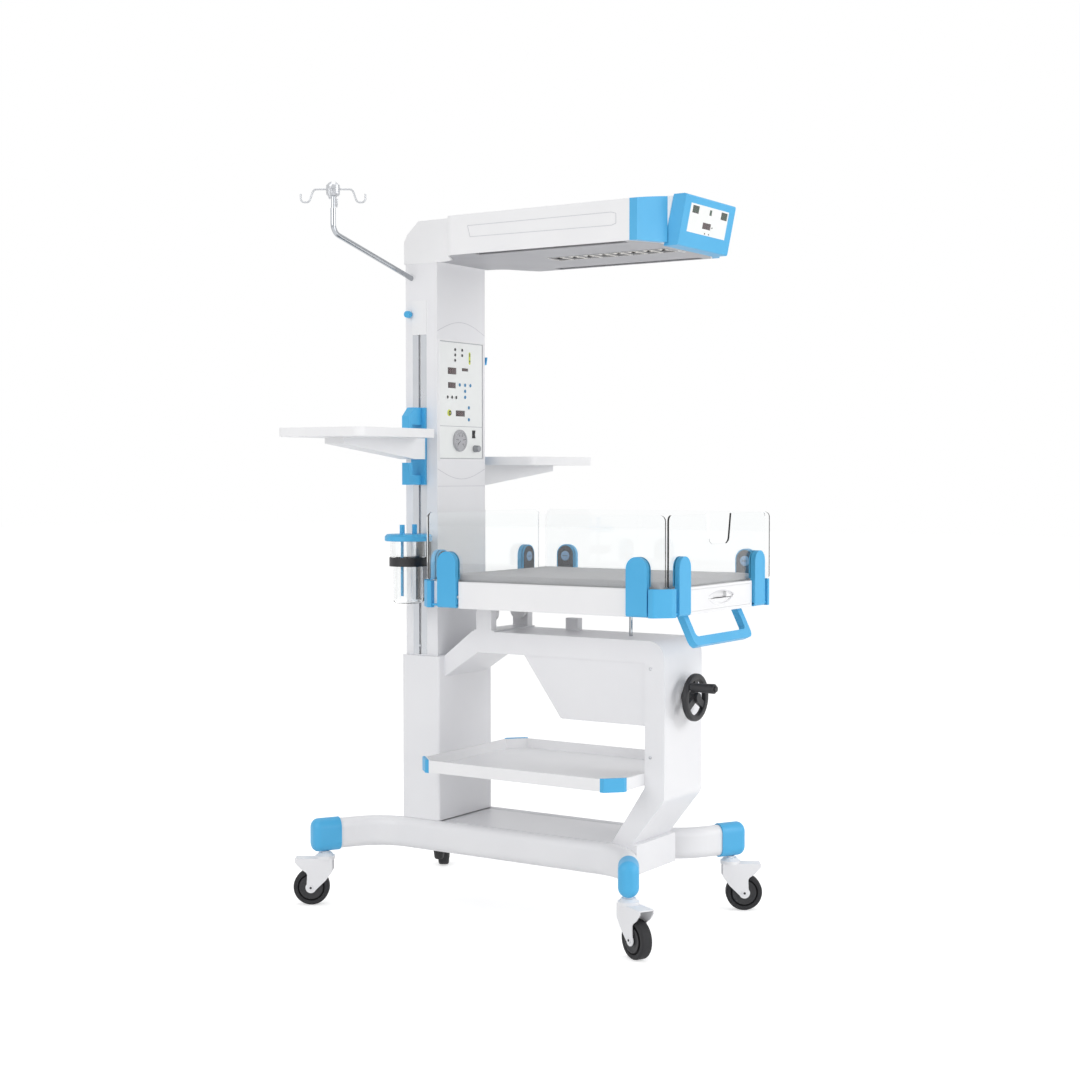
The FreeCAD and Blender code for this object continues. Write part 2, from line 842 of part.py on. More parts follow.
def carrier():
    band = d.carrier_band
    top = d.carrier_top
    inner_front = d.carrier_front - band
    body = new_body("c_frame")
    slab(body, "YZ", -d.carrier_half, d.carrier_half, poly(
        (d.mast_front, d.carrier_step), (d.shroud_front, d.carrier_step), (d.carrier_rise_back, top),
        (-d.carrier_front, top, 45), (-d.carrier_front, d.knee_height, 30), (-d.foot_front, d.deck_top),
        (-d.foot_back, d.deck_top), (-inner_front, d.knee_inner, 20), (-inner_front, top - band),
        (d.carrier_rise_back - 18, top - band), (d.shroud_front, d.carrier_step - band),
        (d.mast_front, d.carrier_step - band)))
    hollow(body, d.carrier_wall, lambda c: near(c.y, d.mast_front) or near(c.z, d.deck_top))
    slab(body, "XY", top, top + 33, rect(68, -125, 92, -86))
    cut(body, "XY", top - band, top, disc(0, -d.rod_y, d.rod_radius + d.shaft_fit))
    cut(body, "XZ", -d.carrier_front, -inner_front,
        disc(0, d.wheel_axis_z, d.shaft_radius + d.shaft_fit))

    body = new_body("tilt_housing")
    slab(body, "YZ", -d.gear_half, d.gear_half, poly(
        (-inner_front, top - band), (-inner_front, d.gear_bottom), (-d.gear_back, d.gear_bottom, 12),
        (-d.gear_rise_back, top - band)))
    hollow(body, d.carrier_wall, lambda c: near(c.z, top - band))
    slab(body, "XY", d.gear_bottom, top - band, disc(0, -d.rod_y, d.rod_radius + 9))
    slab(body, "XZ", -inner_front, -d.shaft_end, disc(0, d.wheel_axis_z, d.shaft_radius + 8))
    cut(body, "XY", d.gear_bottom + 6, top - band, disc(0, -d.rod_y, d.rod_radius + d.shaft_fit))
    cut(body, "XZ", -inner_front, -d.shaft_end, disc(0, d.wheel_axis_z, d.shaft_radius + d.shaft_fit))

    body = new_body("bed_supports")
    inner = d.carrier_half - d.post_width
    plate = 4
    slab(body, "XY", top, top + plate, rect(
        -d.carrier_half, d.tilt_y - d.post_round - 8, d.carrier_half, d.tilt_y + d.post_round + 8))
    for low, high in ((-d.carrier_half, -inner), (inner, d.carrier_half)):
        slab(body, "YZ", low, high, poly(
            (d.tilt_y - d.post_round, top), (d.tilt_y + d.post_round, top),
            (d.tilt_y + d.post_round, d.tilt_z, 0, d.post_round * 1.0001),
            (d.tilt_y - d.post_round, d.tilt_z)))
    lug = inner - 1 - d.lug_width
    slab(body, "YZ", -inner, -lug, disc(d.tilt_y, d.tilt_z, d.pivot_radius))
    slab(body, "YZ", lug, inner, disc(d.tilt_y, d.tilt_z, d.pivot_radius))

    body = new_body("tilt_rod")
    crown = d.bed_bottom - d.slide_gap
    spin(body, "XZ", "V_Axis", poly(
        (0, d.rod_bottom), (d.rod_radius, d.rod_bottom), (d.rod_radius, crown, 2.5), (0, crown)))
    place(body, 0, -d.rod_y, 0)


def handwheel():
    body = new_body("handwheel")
    half = d.rim_depth / 2
    outer = d.handwheel_radius
    inner = outer - d.rim_width
    spin(body, "YZ", "H_Axis", rect(-half, inner, half, outer, 6))
    hub_end = d.wheel_axis_y - d.carrier_front - 2
    spin(body, "YZ", "H_Axis", poly(
        (-half - 3, 0), (-half - 3, 12), (half, 15), (hub_end, 15), (hub_end, d.shaft_radius),
        (d.wheel_axis_y - d.shaft_end, d.shaft_radius), (d.wheel_axis_y - d.shaft_end, 0)))
    spoke = slab(body, "XZ", -4, 5, rect(-9, 9, 9, inner + 3))
    doc.recompute()
    pattern(body, "PolarPattern", [spoke], {
        "Axis": (origin_item(body, "Y_Axis"), [""]), "Angle": 360, "Occurrences": 3})
    front = -half - d.grip_length - 2 * d.slide_gap
    slab(body, "XZ", front, 0, disc(-d.grip_x, d.grip_z, d.spindle_radius))
    slab(body, "XZ", front - 4, front, disc(-d.grip_x, d.grip_z, d.spindle_radius + 3.5))
    place(body, 0, -d.wheel_axis_y, d.wheel_axis_z)

    body = new_body("crank_handle")
    bore = d.spindle_radius + d.shaft_fit
    start = -half - d.slide_gap
    end = start - d.grip_length
    spin(body, "YZ", "H_Axis", poly(
        (end, bore), (end, d.grip_radius, 3), (start, d.grip_radius - 2, 2), (start, bore)))
    place(body, -d.grip_x, -d.wheel_axis_y, d.wheel_axis_z + d.grip_z)


def shelf():
    front = -(d.carrier_front - d.carrier_band)
    back = d.shroud_front
    half = d.shelf_half
    low = d.shelf_bottom
    high = low + d.shelf_height
    c = d.shelf_chamfer + d.guard_depth

    def octagon(inset):
        e = c + 0.4142 * inset
        return poly(
            (inset - half, front + e), (inset - half, back - e), (e - half, back - inset),
            (half - e, back - inset), (half - inset, back - e), (half - inset, front + e),
            (half - e, front + inset), (e - half, front + inset))

    body = new_body("storage_shelf")
    slab(body, "XY", low, high, octagon(as_size(0)))
    cut(body, "XY", low + d.shelf_floor, high, octagon(d.shelf_rim))
    body = new_body("shelf_corner_guards")
    inner = d.shelf_chamfer
    for sx in (-1, 1):
        for edge, sy in ((front, 1), (back, -1)):
            slab(body, "XY", low - 2, high + 2, poly(
                (sx * half, edge + sy * c), (sx * half, edge + sy * inner), (sx * (half - inner), edge),
                (sx * (half - c), edge)))


carrier()
handwheel()
shelf()


# Controller in the mast

def controller():
    body = new_body("controller_case")
    front = d.mast_front - d.case_proud
    low = d.case_bottom
    high = d.case_top
    behind = d.mast_front + d.mast_wall
    inner = d.mast_half - d.mast_cheek
    film = front + d.film_sunk
    slab(body, "XZ", front, behind, rect(-d.case_half, low, d.case_half, high))
    slab(body, "XZ", behind, behind + d.case_depth, rect(-inner, low, inner, high))
    cut(body, "XZ", behind, behind + d.case_depth, rect(3 - inner, low + 3, inner - 3, high - 3))
    slab(body, "XZ", film + d.film_thick, behind + 14, rect(
        d.rocker_x - 14, d.knob_z - 16, d.rocker_x + 18, d.rocker_z + 20))
    cut(body, "XZ", front, film + d.film_thick, rect(
        d.case_rim - d.case_half, low + d.case_rim, d.case_half - d.case_rim, high - d.case_rim))

    half_w = d.rocker_width / 2
    half_h = d.rocker_height / 2
    pivot = film + 3
    cut(body, "XZ", film, pivot + 8, rect(
        d.rocker_x - half_w - 0.5, d.rocker_z - half_h - 0.5,
        d.rocker_x + half_w + 0.5, d.rocker_z + half_h + 0.5))
    cut(body, "YZ", d.rocker_x - half_w - 4, d.rocker_x + half_w + 4, disc(pivot + 2, d.rocker_z, 1.5 + d.shaft_fit))
    cut(body, "XZ", film, film + 12, disc(d.knob_x, d.knob_z, 3 + d.shaft_fit))

    body = new_body("controller_panel")
    side = d.case_half - d.case_rim
    slab(body, "XZ", film, film + d.film_thick, rect(-side, low + d.case_rim, side, high - d.case_rim))
    cut(body, "XZ", film, film + d.film_thick,
        rect(d.rocker_x - half_w - 0.5, d.rocker_z - half_h - 0.5,
             d.rocker_x + half_w + 0.5, d.rocker_z + half_h + 0.5),
        disc(d.knob_x, d.knob_z, 3 + d.shaft_fit))
    windows = [(-64, 1483, -23, 1502), (-63, 1444, -26, 1461), (4, 1494, 34, 1503), (-26, 1366, 18, 1383)]
    cut(body, "XZ", film, film + 0.8, *[rect(x0, z0, x1, z1) for x0, z0, x1, z1 in windows])
    keys = [(-8, 1455), (18, 1455), (44, 1455), (18, 1438), (18, 1421), (36, 1392), (36, 1358),
            (-66, 1419), (-45, 1419), (-25, 1419)]
    slab(body, "XZ", film - 0.8, film, *[rect(x - 8, z - 5, x + 8, z + 5) for x, z in keys])
    slab(body, "XZ", film - 0.8, film, disc(-55, 1375, 7))

    body = new_body("pressure_gauge")
    deep = d.film_sunk + 5
    spin(body, "YZ", "H_Axis", poly(
        (0, 0), (0, d.dial_radius), (-deep + 2, d.dial_radius), (-deep, d.dial_radius - 2),
        (-deep, d.dial_radius - 5), (2 - deep, d.dial_radius - 6), (2 - deep, 0)))
    place(body, -d.dial_x, film, d.dial_z)

    body = new_body("flow_knob")
    rear = -d.slide_gap
    reach = -d.knob_reach
    spin(body, "YZ", "H_Axis", poly(
        (reach, 0), (reach, d.knob_radius - 2), (reach + 1.5, d.knob_radius - 1), (-3, d.knob_radius),
        (rear, d.knob_radius), (rear, 3), (10, 3), (10, 0)))
    notch = cut(body, "XZ", reach, -4, disc(0, d.knob_radius + 1.2, 2))
    doc.recompute()
    pattern(body, "PolarPattern", [notch], {
        "Axis": (origin_item(body, "Y_Axis"), [""]), "Angle": 360, "Occurrences": 8})
    place(body, d.knob_x, film, d.knob_z)

    body = new_body("power_switch")
    slab(body, "YZ", -half_w, half_w, poly(
        (-6, half_h - 0.5), (-3.6, 0), (-6.5, 0.5 - half_h), (-1, 0.3 - half_h), (4.5, 0), (-1, half_h - 0.3)))
    slab(body, "YZ", -half_w - 3.5, half_w + 3.5, disc(0, 0, 1.5))
    place(body, d.rocker_x, pivot + 2, d.rocker_z)


controller()


# Heater head and display

def head():
    low = d.head_bottom
    shoulder = low + d.head_side
    high = shoulder + d.head_rise
    sag = d.head_rise
    arch = (d.head_half * d.head_half + sag * sag) / (2 * sag)
    cap = d.head_cap_depth
    slope = d.head_front - 28

    def crown(body):
        cut(body, "XZ", -d.head_front - 1, d.head_back + 1, poly(
            (-d.head_half, shoulder, 0, -arch), (d.head_half, shoulder),
            (d.head_half + 1, shoulder), (d.head_half + 1, high + 1), (-d.head_half - 1, high + 1),
            (-d.head_half - 1, shoulder)))

    body = new_body("head_housing")
    slab(body, "XY", low, high, poly(
        (-d.head_half, cap - d.head_side_front), (-d.head_cap_inner, cap - d.head_cap_front),
        (-d.head_cap_inner, -d.head_front), (d.head_cap_inner, -d.head_front),
        (d.head_cap_inner, cap - d.head_cap_front), (d.head_half, cap - d.head_side_front),
        (d.head_half, d.head_side_back, 25), (d.head_neck, d.head_side_back + 60, 60),
        (d.head_neck, d.head_back), (-d.head_neck, d.head_back),
        (-d.head_neck, d.head_side_back + 60, 60), (-d.head_half, d.head_side_back, 25)))
    crown(body)
    cut(body, "YZ", -d.head_half, d.head_half, poly(
        (-d.head_front - 1, low - 1), (-slope, low), (-d.head_front, high), (-d.head_front - 1, high)))
    cut(body, "YZ", -d.head_half, d.head_half, poly(
        (d.head_back - 55, high + 1), (d.head_back - 55, high), (d.head_back - 11, high - 40),
        (d.head_back, high - 60), (d.head_back + 1, high - 60), (d.head_back + 1, high + 1)))
    wall = d.head_wall
    inner = d.head_half - wall
    cut(body, "XY", low, shoulder - 4, poly(
        (-inner, cap - d.head_side_front + 3), (-d.head_cap_inner, cap - d.head_cap_front + 4),
        (d.head_cap_inner, cap - d.head_cap_front + 4), (inner, cap - d.head_side_front + 3),
        (inner, d.head_side_back - wall, 23), (d.head_neck - wall, d.head_side_back + 57, 58),
        (d.head_neck - wall, d.mast_front - 12), (wall - d.head_neck, d.mast_front - 12),
        (wall - d.head_neck, d.head_side_back + 57, 58), (-inner, d.head_side_back - wall, 23)))
    cut(body, "XY", shoulder - 5, high - 12, rect(
        -d.head_cap_inner, -d.head_side_front, d.head_cap_inner, d.head_side_back, 20))
    cut(body, "XY", low + 6, shoulder - 30, rect(
        wall - d.head_neck, d.mast_front - 13, d.head_neck - wall, d.head_back - wall))

    body = new_body("head_corner_caps")
    for side in (-1, 1):
        slab(body, "XY", low, high, poly(
            (side * d.head_half, cap - d.head_side_front), (side * d.head_half, -d.head_side_front),
            (side * d.head_cap_inner, -d.head_cap_front), (side * d.head_cap_inner, cap - d.head_cap_front)))
    crown(body)

    body = new_body("head_underside")
    gap = 0.5
    thick = d.lamp_plate
    slab(body, "XY", low, low + thick, poly(
        (gap - inner, cap - d.head_side_front + 4), (-d.head_cap_inner, cap - d.head_cap_front + 5),
        (d.head_cap_inner, cap - d.head_cap_front + 5), (inner - gap, cap - d.head_side_front + 4),
        (inner - gap, d.head_side_back - wall - gap, 23), (d.head_neck - wall - gap, d.head_side_back + 56, 58),
        (d.head_neck - wall - gap, d.mast_front - 12), (wall + gap - d.head_neck, d.mast_front - 12),
        (wall + gap - d.head_neck, d.head_side_back + 56, 58), (gap - inner, d.head_side_back - wall - gap, 23)))
    half = d.grille_width / 2
    cell = cut(body, "XY", low, low + thick, rect(
        -half, -d.grille_front, half, d.grille_cell - d.grille_front, 4))
    doc.recompute()
    row = pattern(body, "LinearPattern", [cell], {
        "Direction": (origin_item(body, "Y_Axis"), [""]), "Occurrences": int(d.grille_cells.number)})
    bind(row, "Length", (d.grille_cell + d.grille_bar) * (d.grille_cells - 1))
    cut(body, "XY", low, low + thick,
        rect(-d.head_half + 9, 25 - d.vent_length, d.vent_width + 9 - d.head_half, 25),
        rect(d.head_half - 9 - d.vent_width, 25 - d.vent_length, d.head_half - 9, 25))

    body = new_body("heater_module")
    top = low + thick
    long_back = (d.grille_cell + d.grille_bar) * d.grille_cells - d.grille_front + 10
    slab(body, "XZ", -d.grille_front - 12, long_back, poly(
        (-half - 14, top), (-half - 2, top), (-half + 12, top + 46), (half - 12, top + 46), (half + 2, top),
        (half + 14, top), (half + 14, top + 2), (half + 4, top + 2), (half - 10.5, top + 48),
        (10.5 - half, top + 48), (-half - 4, top + 2), (-half - 14, top + 2)))
    for edge in (-d.grille_front - 12, long_back - 2):
        slab(body, "XZ", edge, edge + 2, poly(
            (-half, top + 2), (half, top + 2), (half - 12, top + 47), (12 - half, top + 47)))
    slab(body, "XZ", -d.grille_front - 12, long_back, disc(0, top + 24, d.tube_radius))

    body = new_body("display_housing")
    lean = d.head_front - slope
    tall = high - low
    rear_low = slope - (low - d.screen_bottom) * lean / tall
    rear_high = d.head_front - (high - d.screen_top) * lean / tall
    deep = d.screen_depth
    slab(body, "YZ", -d.screen_half, d.screen_half, poly(
        (-rear_low, d.screen_bottom), (-rear_high, d.screen_top), (-rear_high - deep + 3, d.screen_top, 5),
        (-rear_low - deep, d.screen_bottom, 5)))
    recess = 2

    def glass(depth_from, depth_to, z_low, z_high):
        fall = (rear_high - 3 - rear_low) / (d.screen_top - d.screen_bottom)
        a = rear_low + deep + (z_low - d.screen_bottom) * fall
        b = rear_low + deep + (z_high - d.screen_bottom) * fall
        return poly((-a + depth_from, z_low), (-b + depth_from, z_high), (-b + depth_to, z_high),
                    (-a + depth_to, z_low))

    z_low = d.screen_bottom + d.screen_chin
    z_high = d.screen_top - d.screen_brow
    side = d.screen_half - d.screen_margin
    cut(body, "YZ", -side, side, glass(-1, recess, z_low, z_high))
    body = new_body("display_screen")
    slab(body, "YZ", -side, side, glass(0, recess, z_low, z_high))
    cut(body, "YZ", 12 - side, 46 - side, glass(-1, 0.8, z_high - 23, z_high - 4))
    cut(body, "YZ", side - 40, side - 6, glass(-1, 0.8, z_high - 23, z_high - 4))
    cut(body, "YZ", 0, 12, glass(-1, 0.8, z_high - 20, z_high - 6))
    cut(body, "YZ", -26, 18, glass(-1, 0.8, z_low + 15, z_low + 31))


head()


# Infusion pole

def pole():
    body = new_body("iv_pole")
    run = d.pole_x - d.mast_half
    slope = (d.pole_bend_z - d.pole_root_z) / run
    inside = d.mast_half - d.mast_cheek + 2
    spine = path((-d.pole_x, d.pole_top), (-d.pole_x, d.pole_bend_z, d.pole_bend),
                 (-inside, d.pole_root_z - (d.mast_half - inside) * slope))
    sweep(body, "XZ", d.pole_y, spine, "XY", d.pole_top, disc(-d.pole_x, d.pole_y, d.pole_radius))
    slab(body, "XY", d.pole_top - 1, d.pole_tip, disc(-d.pole_x, d.pole_y, d.pole_thin))

    body = new_body("iv_hook_head")
    low = d.pole_tip - 7
    spin(body, "XZ", "V_Axis", poly(
        (0, low), (d.hub_radius - 3, low), (d.hub_radius, low + 4), (d.hub_radius, low + d.hub_height - 8),
        (d.hub_radius - 8, low + d.hub_height), (0, low + d.hub_height)))
    cut(body, "XY", low, d.pole_tip + d.slide_gap, disc(0, 0, d.pole_thin + d.shaft_fit))
    out = low + 17
    curl = d.hook_curl
    tip = d.hook_reach
    hook = sweep(body, "XZ", 0, path(
        (8, out), (tip - 2 * curl - 12, out, 12), (tip - 2 * curl, out - 34 + 0 * curl, curl * 0.9),
        (tip, out - 34, curl * 0.9), (tip, out - 12)), "YZ", 8, disc(0, out, d.hook_wire))
    doc.recompute()
    pattern(body, "PolarPattern", [hook], {
        "Axis": (origin_item(body, "Z_Axis"), [""]), "Angle": 360, "Occurrences": 4})
    place(body, -d.pole_x, d.pole_y, 0, 32.7)

    body = new_body("iv_clamp_knob")
    spin(body, "XZ", "H_Axis", poly(
        (-d.slide_gap, 0), (-d.slide_gap, 6), (-8, 6), (-8, 10), (-20, 9), (-20, 0)))
    place(body, -d.mast_half, 309.5, 1648)


pole()


# Instrument trays, each on a clamp that slides on a side rail

def tray_side(side_name, turned):
    def settle(body):
        if turned:
            place(body, 0, 2 * d.rail_middle, -d.tray_drop, 180)

    face = d.mast_half + d.slide_gap
    outer = face + d.shoe_depth
    front = d.rail_middle - d.rail_width / 2
    back = d.rail_middle + d.rail_width / 2
    floor = d.tray_base + d.tray_wall
    seat = floor + d.tray_pad
    body = new_body("tray_clamp_" + side_name)
    shoe_low = d.tray_base - 129
    shoe_high = d.tray_base + 85
    slab(body, "XY", shoe_low, shoe_high, rect(-outer, front, -face, back))
    slot = d.slot_width / 2 - d.slide_gap
    tee = d.tee_width / 2 - 2 * d.slide_gap
    lip = d.mast_half - d.rail_lip
    slab(body, "XY", shoe_low, shoe_high, rect(
        -face, d.rail_middle - slot, 1 - lip, d.rail_middle + slot))
    slab(body, "XY", shoe_low, shoe_high, rect(
        d.slide_gap - lip, d.rail_middle - tee, 3.5 - lip, d.rail_middle + tee))
    half = d.clamp_width / 2
    out = d.clamp_out
    bar = d.clamp_bar
    slab(body, "XZ", d.rail_middle - half, d.rail_middle + half, poly(
        (-outer, shoe_high), (25 - out, shoe_high), (-out, shoe_high - 25), (-out, seat), (bar - out, seat),
        (bar - out, shoe_high - 48), (-outer, shoe_high - 48)))
    slab(body, "XZ", d.rail_middle - half, d.rail_middle + half, poly(
        (-outer, shoe_low), (-out, shoe_low), (-out, shoe_low + 61), (bar - out, shoe_low + 61),
        (bar - out, shoe_low + 26), (-outer, shoe_low + 26)))
    settle(body)

    body = new_body("tray_" + side_name)
    slab(body, "XY", d.tray_base, d.tray_base + d.tray_height, rect(
        -d.tray_outer_x, d.tray_front, -d.tray_inner_x, d.tray_back, d.tray_round))
    wall = d.tray_wall
    cut(body, "XY", floor, d.tray_base + d.tray_height, rect(
        wall - d.tray_outer_x, d.tray_front + wall, -d.tray_inner_x - wall, d.tray_back - wall,
        d.tray_round - wall))
    slab(body, "XY", floor - 1, seat, rect(
        -out - 3, d.rail_middle - half - 3, 1 - d.tray_inner_x - wall, d.rail_middle + half + 3))
    slab(body, "XY", d.tray_base - 58, d.tray_base, poly(
        (-outer, front - 1), (-outer, back + 1), (-d.tray_outer_x + 118, d.tray_back - 71),
        (-d.tray_outer_x + 118, d.tray_back - 137)))
    cut(body, "XZ", d.rail_middle - 60, d.rail_middle + 160, poly(
        (-outer - 30, d.tray_base - 59), (-outer - 30, d.tray_base - 58),
        (-d.tray_outer_x + 117, d.tray_base - 17), (-d.tray_outer_x + 117, d.tray_base - 59)))
    settle(body)


tray_side("left", False)
tray_side("right", True)


# Suction unit

def suction():
    face = d.mast_half
    ring_top = d.jar_bottom + d.jar_height
    ring_bottom = ring_top - d.ring_deep
    cup_top = ring_top + d.cup_height
    body = new_body("jar_holder")
    slab(body, "XY", d.jar_bottom, cup_top - 5, rect(-face - 6, d.jar_y - 14, -face, d.jar_y + 30))
    slab(body, "XY", ring_bottom, ring_top, rect(
        -face - 45, d.jar_y + 6, -face - 6, d.jar_y + 24))
    slab(body, "XY", ring_bottom, ring_top, disc(-d.jar_x, d.jar_y, d.ring_radius))
    cut(body, "XY", ring_bottom, ring_top, disc(-d.jar_x, d.jar_y, d.jar_radius + d.slide_gap))

    body = new_body("jar_bracket")
    tip = d.jar_x - d.ring_radius - d.slide_gap
    slab(body, "XZ", d.jar_y - 14, d.jar_y + 3, poly(
        (-face - 6, d.jar_bottom + 10), (-face - 6, ring_top), (-tip + 8, ring_top),
        (-tip, ring_top - 15), (-tip + 8, ring_bottom - 6), (-face - 14, ring_bottom - 6),
        (-face - 14, d.jar_bottom + 10)))

    body = new_body("suction_jar")
    wall = d.jar_wall
    spin(body, "XZ", "V_Axis", poly(
        (0, d.jar_bottom), (d.jar_radius, d.jar_bottom, 6), (d.jar_radius, ring_top), (d.cup_radius, ring_top),
        (d.cup_radius, cup_top), (d.cup_radius - wall, cup_top), (d.cup_radius - wall, ring_top + wall),
        (d.jar_radius - wall, ring_top + wall), (d.jar_radius - wall, d.jar_bottom + wall, 4),
        (0, d.jar_bottom + wall)))
    place(body, -d.jar_x, d.jar_y, 0)

    body = new_body("jar_lid")
    top = cup_top + d.lid_height
    spin(body, "XZ", "V_Axis", poly(
        (0, cup_top), (d.lid_radius - 2, cup_top), (d.lid_radius, cup_top + 2), (d.lid_radius, top - 6),
        (d.lid_radius - 6, top), (0, top)))
    for x in (-28, 28):
        slab(body, "XY", top, top + 26, disc(x, 0, 7))
    slab(body, "XY", d.jar_bottom + 20, cup_top, disc(-28, 0, 4))
    for x in (-28, 28):
        cut(body, "XY", top - 4, top + 26, disc(x, 0, 4.5))
    place(body, -d.jar_x, d.jar_y, 0)


suction()


# Bed

def bed():
    half = d.bed_half
    front = -d.bed_front
    back = d.bed_back
    low = d.bed_bottom
    inner = half - d.bed_wall
    body = new_body("bed_tray")
    slab(body, "XY", low, d.bed_rim, rect(-half, front, half, back))
    cut(body, "XY", d.bed_floor, d.bed_rim, rect(
        -inner, front + d.bed_wall, inner, back - d.bed_wall, 14))
    cut(body, "XY", low + d.bed_sheet, d.bed_floor - d.bed_sheet, rect(
        -inner, front + d.bed_wall, inner, back - d.bed_wall))
    notch = d.block_depth - d.block_proud
    reach = d.block_length - d.block_proud
    cut(body, "XY", low, d.bed_rim, *[
        rect(x0, y0, x1, y1)
        for x0, x1 in ((-half, notch - half), (half - notch, half))
        for y0, y1 in ((front, front + reach), (back - reach, back))])
    cut(body, "XY", low, d.bed_rim, *[
        rect(x0, y0, x1, y1)
        for x0, x1 in ((notch - half, reach - half), (half - reach, half - notch))
        for y0, y1 in ((front, front + notch), (back - notch, back))])
    # slots in which the panel arms stand
    deep = d.recess_depth
    arm_front = -d.side_middle - d.side_arm_at + d.arm_half + 4
    arm_back = d.side_arm_at - d.side_middle - d.arm_half - 4
    cut(body, "XY", low, d.bed_rim, *[
        rect(x0, y0, x1, y1)
        for x0, x1 in ((-half, deep - half), (half - deep, half))
        for y0, y1 in ((front + reach, arm_front), (arm_back, back - reach))])
    arm_in = d.end_arm_at - d.arm_half - 4
    cut(body, "XY", low, d.bed_rim, *[
        rect(x0, y0, x1, y1)
        for x0, x1 in ((reach - half, -arm_in), (arm_in, half - reach))
        for y0, y1 in ((front, front + deep), (back - deep, back))])
    # drawer opening, runners and finger hollow
    cut(body, "XZ", front, front + d.drawer_plate, rect(
        -d.drawer_half - 0.5, d.drawer_low - 0.5, d.drawer_half + 0.5, d.drawer_high + 0.5))
    cut(body, "XZ", front, front + d.bed_wall, rect(
        -d.drawer_box_half - 0.5, d.drawer_low + 1.5, d.drawer_box_half + 0.5, d.bed_floor - d.bed_sheet))
    cut(body, "XZ", front, front + d.bed_wall - 4, rect(-38, d.bed_floor - 8, 38, d.bed_floor + 16))
    runner = d.drawer_low + 2 - d.slide_gap
    slab(body, "XY", low + d.bed_sheet, runner, *[
        rect(x0, front + d.bed_wall, x1, -d.drawer_back)
        for x0, x1 in ((-d.drawer_box_half, 12 - d.drawer_box_half),
                       (d.drawer_box_half - 12, d.drawer_box_half))])
    lug_out = d.carrier_half - d.post_width - 1
    for low_x, high_x in ((-lug_out, d.lug_width - lug_out), (lug_out - d.lug_width, lug_out)):
        slab(body, "YZ", low_x, high_x, poly(
            (d.tilt_y + d.post_round, low + 1), (d.tilt_y - d.post_round, low + 1),
            (d.tilt_y - d.post_round, d.tilt_z, 0, d.post_round * 1.0001), (d.tilt_y + d.post_round, d.tilt_z)))
    cut(body, "YZ", -lug_out, lug_out, disc(d.tilt_y, d.tilt_z, d.pivot_radius + d.shaft_fit))

    body = new_body("mattress")
    gap = d.mattress_gap
    slab(body, "XY", d.bed_floor + d.slide_gap, d.mattress_top, rect(
        gap - inner, front + d.bed_wall + gap, inner - gap, back - d.bed_wall - gap, 24))
    rounds(body, d.mattress_round, lambda c: near(c.z, d.mattress_top))

    blocks = []
    body = new_body("corner_block_0", kept=False)
    x0 = -half - d.block_proud
    y0 = front - d.block_proud
    c = d.block_chamfer
    length = d.block_length
    depth = d.block_depth
    slab(body, "XY", low, d.block_top, poly(
        (x0, y0 + length), (x0, y0 + c, 12), (x0 + c, y0, 12), (x0 + length, y0), (x0 + length, y0 + depth),
        (x0 + depth, y0 + depth), (x0 + depth, y0 + length)))
    axis_in = d.hinge_inset
    axis_z = low + d.hinge_height
    slab(body, "XZ", y0 + length, y0 + length + d.pin_length, disc(-half - axis_in, axis_z, d.pin_radius))
    slab(body, "YZ", x0 + length, x0 + length + d.pin_length - 6, disc(front - axis_in, axis_z, d.pin_radius))
    blocks.append(body)
    blocks.append(mirrored("corner_block_1", body, (1, 0, 0), kept=False))
    middle = (d.bed_back - d.bed_front) / 2
    blocks.append(mirrored("corner_block_2", body, (0, 1, 0), middle, kept=False))
    blocks.append(mirrored("corner_block_3", blocks[1], (0, 1, 0), middle, kept=False))
    group("corner_blocks", blocks)

    body = new_body("xray_drawer")
    box = d.drawer_box_half
    base = d.drawer_low + 2
    slab(body, "XZ", front, front + d.drawer_plate, poly(
        (-d.drawer_half, d.drawer_low), (d.drawer_half, d.drawer_low), (d.drawer_half, d.drawer_high),
        (-d.drawer_half, d.drawer_high)))
    slab(body, "XY", base, d.drawer_box_top, rect(-box, front + d.drawer_plate, box, -d.drawer_back))
    cut(body, "XY", base + 2, d.drawer_box_top, rect(
        3 - box, front + d.drawer_plate + 3, box - 3, -d.drawer_back - 3))
    cut(body, "XZ", front, front + d.drawer_plate, poly(
        (-70, d.bed_floor - 1, 0, 133), (70, d.bed_floor - 1), (70, d.bed_floor + 1, 0, 211), (-70, d.bed_floor + 1)))

    # the push bar hangs under the front edge and leans forward
    loop = new_body("push_bar", kept=False)
    length = root(d.handle_drop * d.handle_drop + d.handle_lean * d.handle_lean)
    wide = d.handle_wide
    out = d.handle_x + wide / 2
    slab(loop, "XZ", -d.handle_thick / 2, d.handle_thick / 2, poly(
        (-out, 20), (-out, -length - wide / 2, 20), (out, -length - wide / 2, 20), (out, 20), (out - wide, 20),
        (out - wide, wide / 2 - length, 12), (wide - out, wide / 2 - length, 12), (wide - out, 20)))
    place(loop, 0, -d.handle_y, low, angle_of(d.handle_lean / d.handle_drop), (-1, 0, 0))
    above = doc.addObject("Part::Box", "above_the_bar")
    bind(above, "Length", 3 * d.handle_x)
    bind(above, "Width", 6 * wide)
    bind(above, "Height", 4 * wide)
    place(above, -1.5 * d.handle_x, -d.handle_y - 3 * wide, low)
    handle = doc.addObject("Part::Cut", "push_handle")
    handle.Label = "push_handle"
    handle.Base = loop
    handle.Tool = above
    nodes.append(handle)


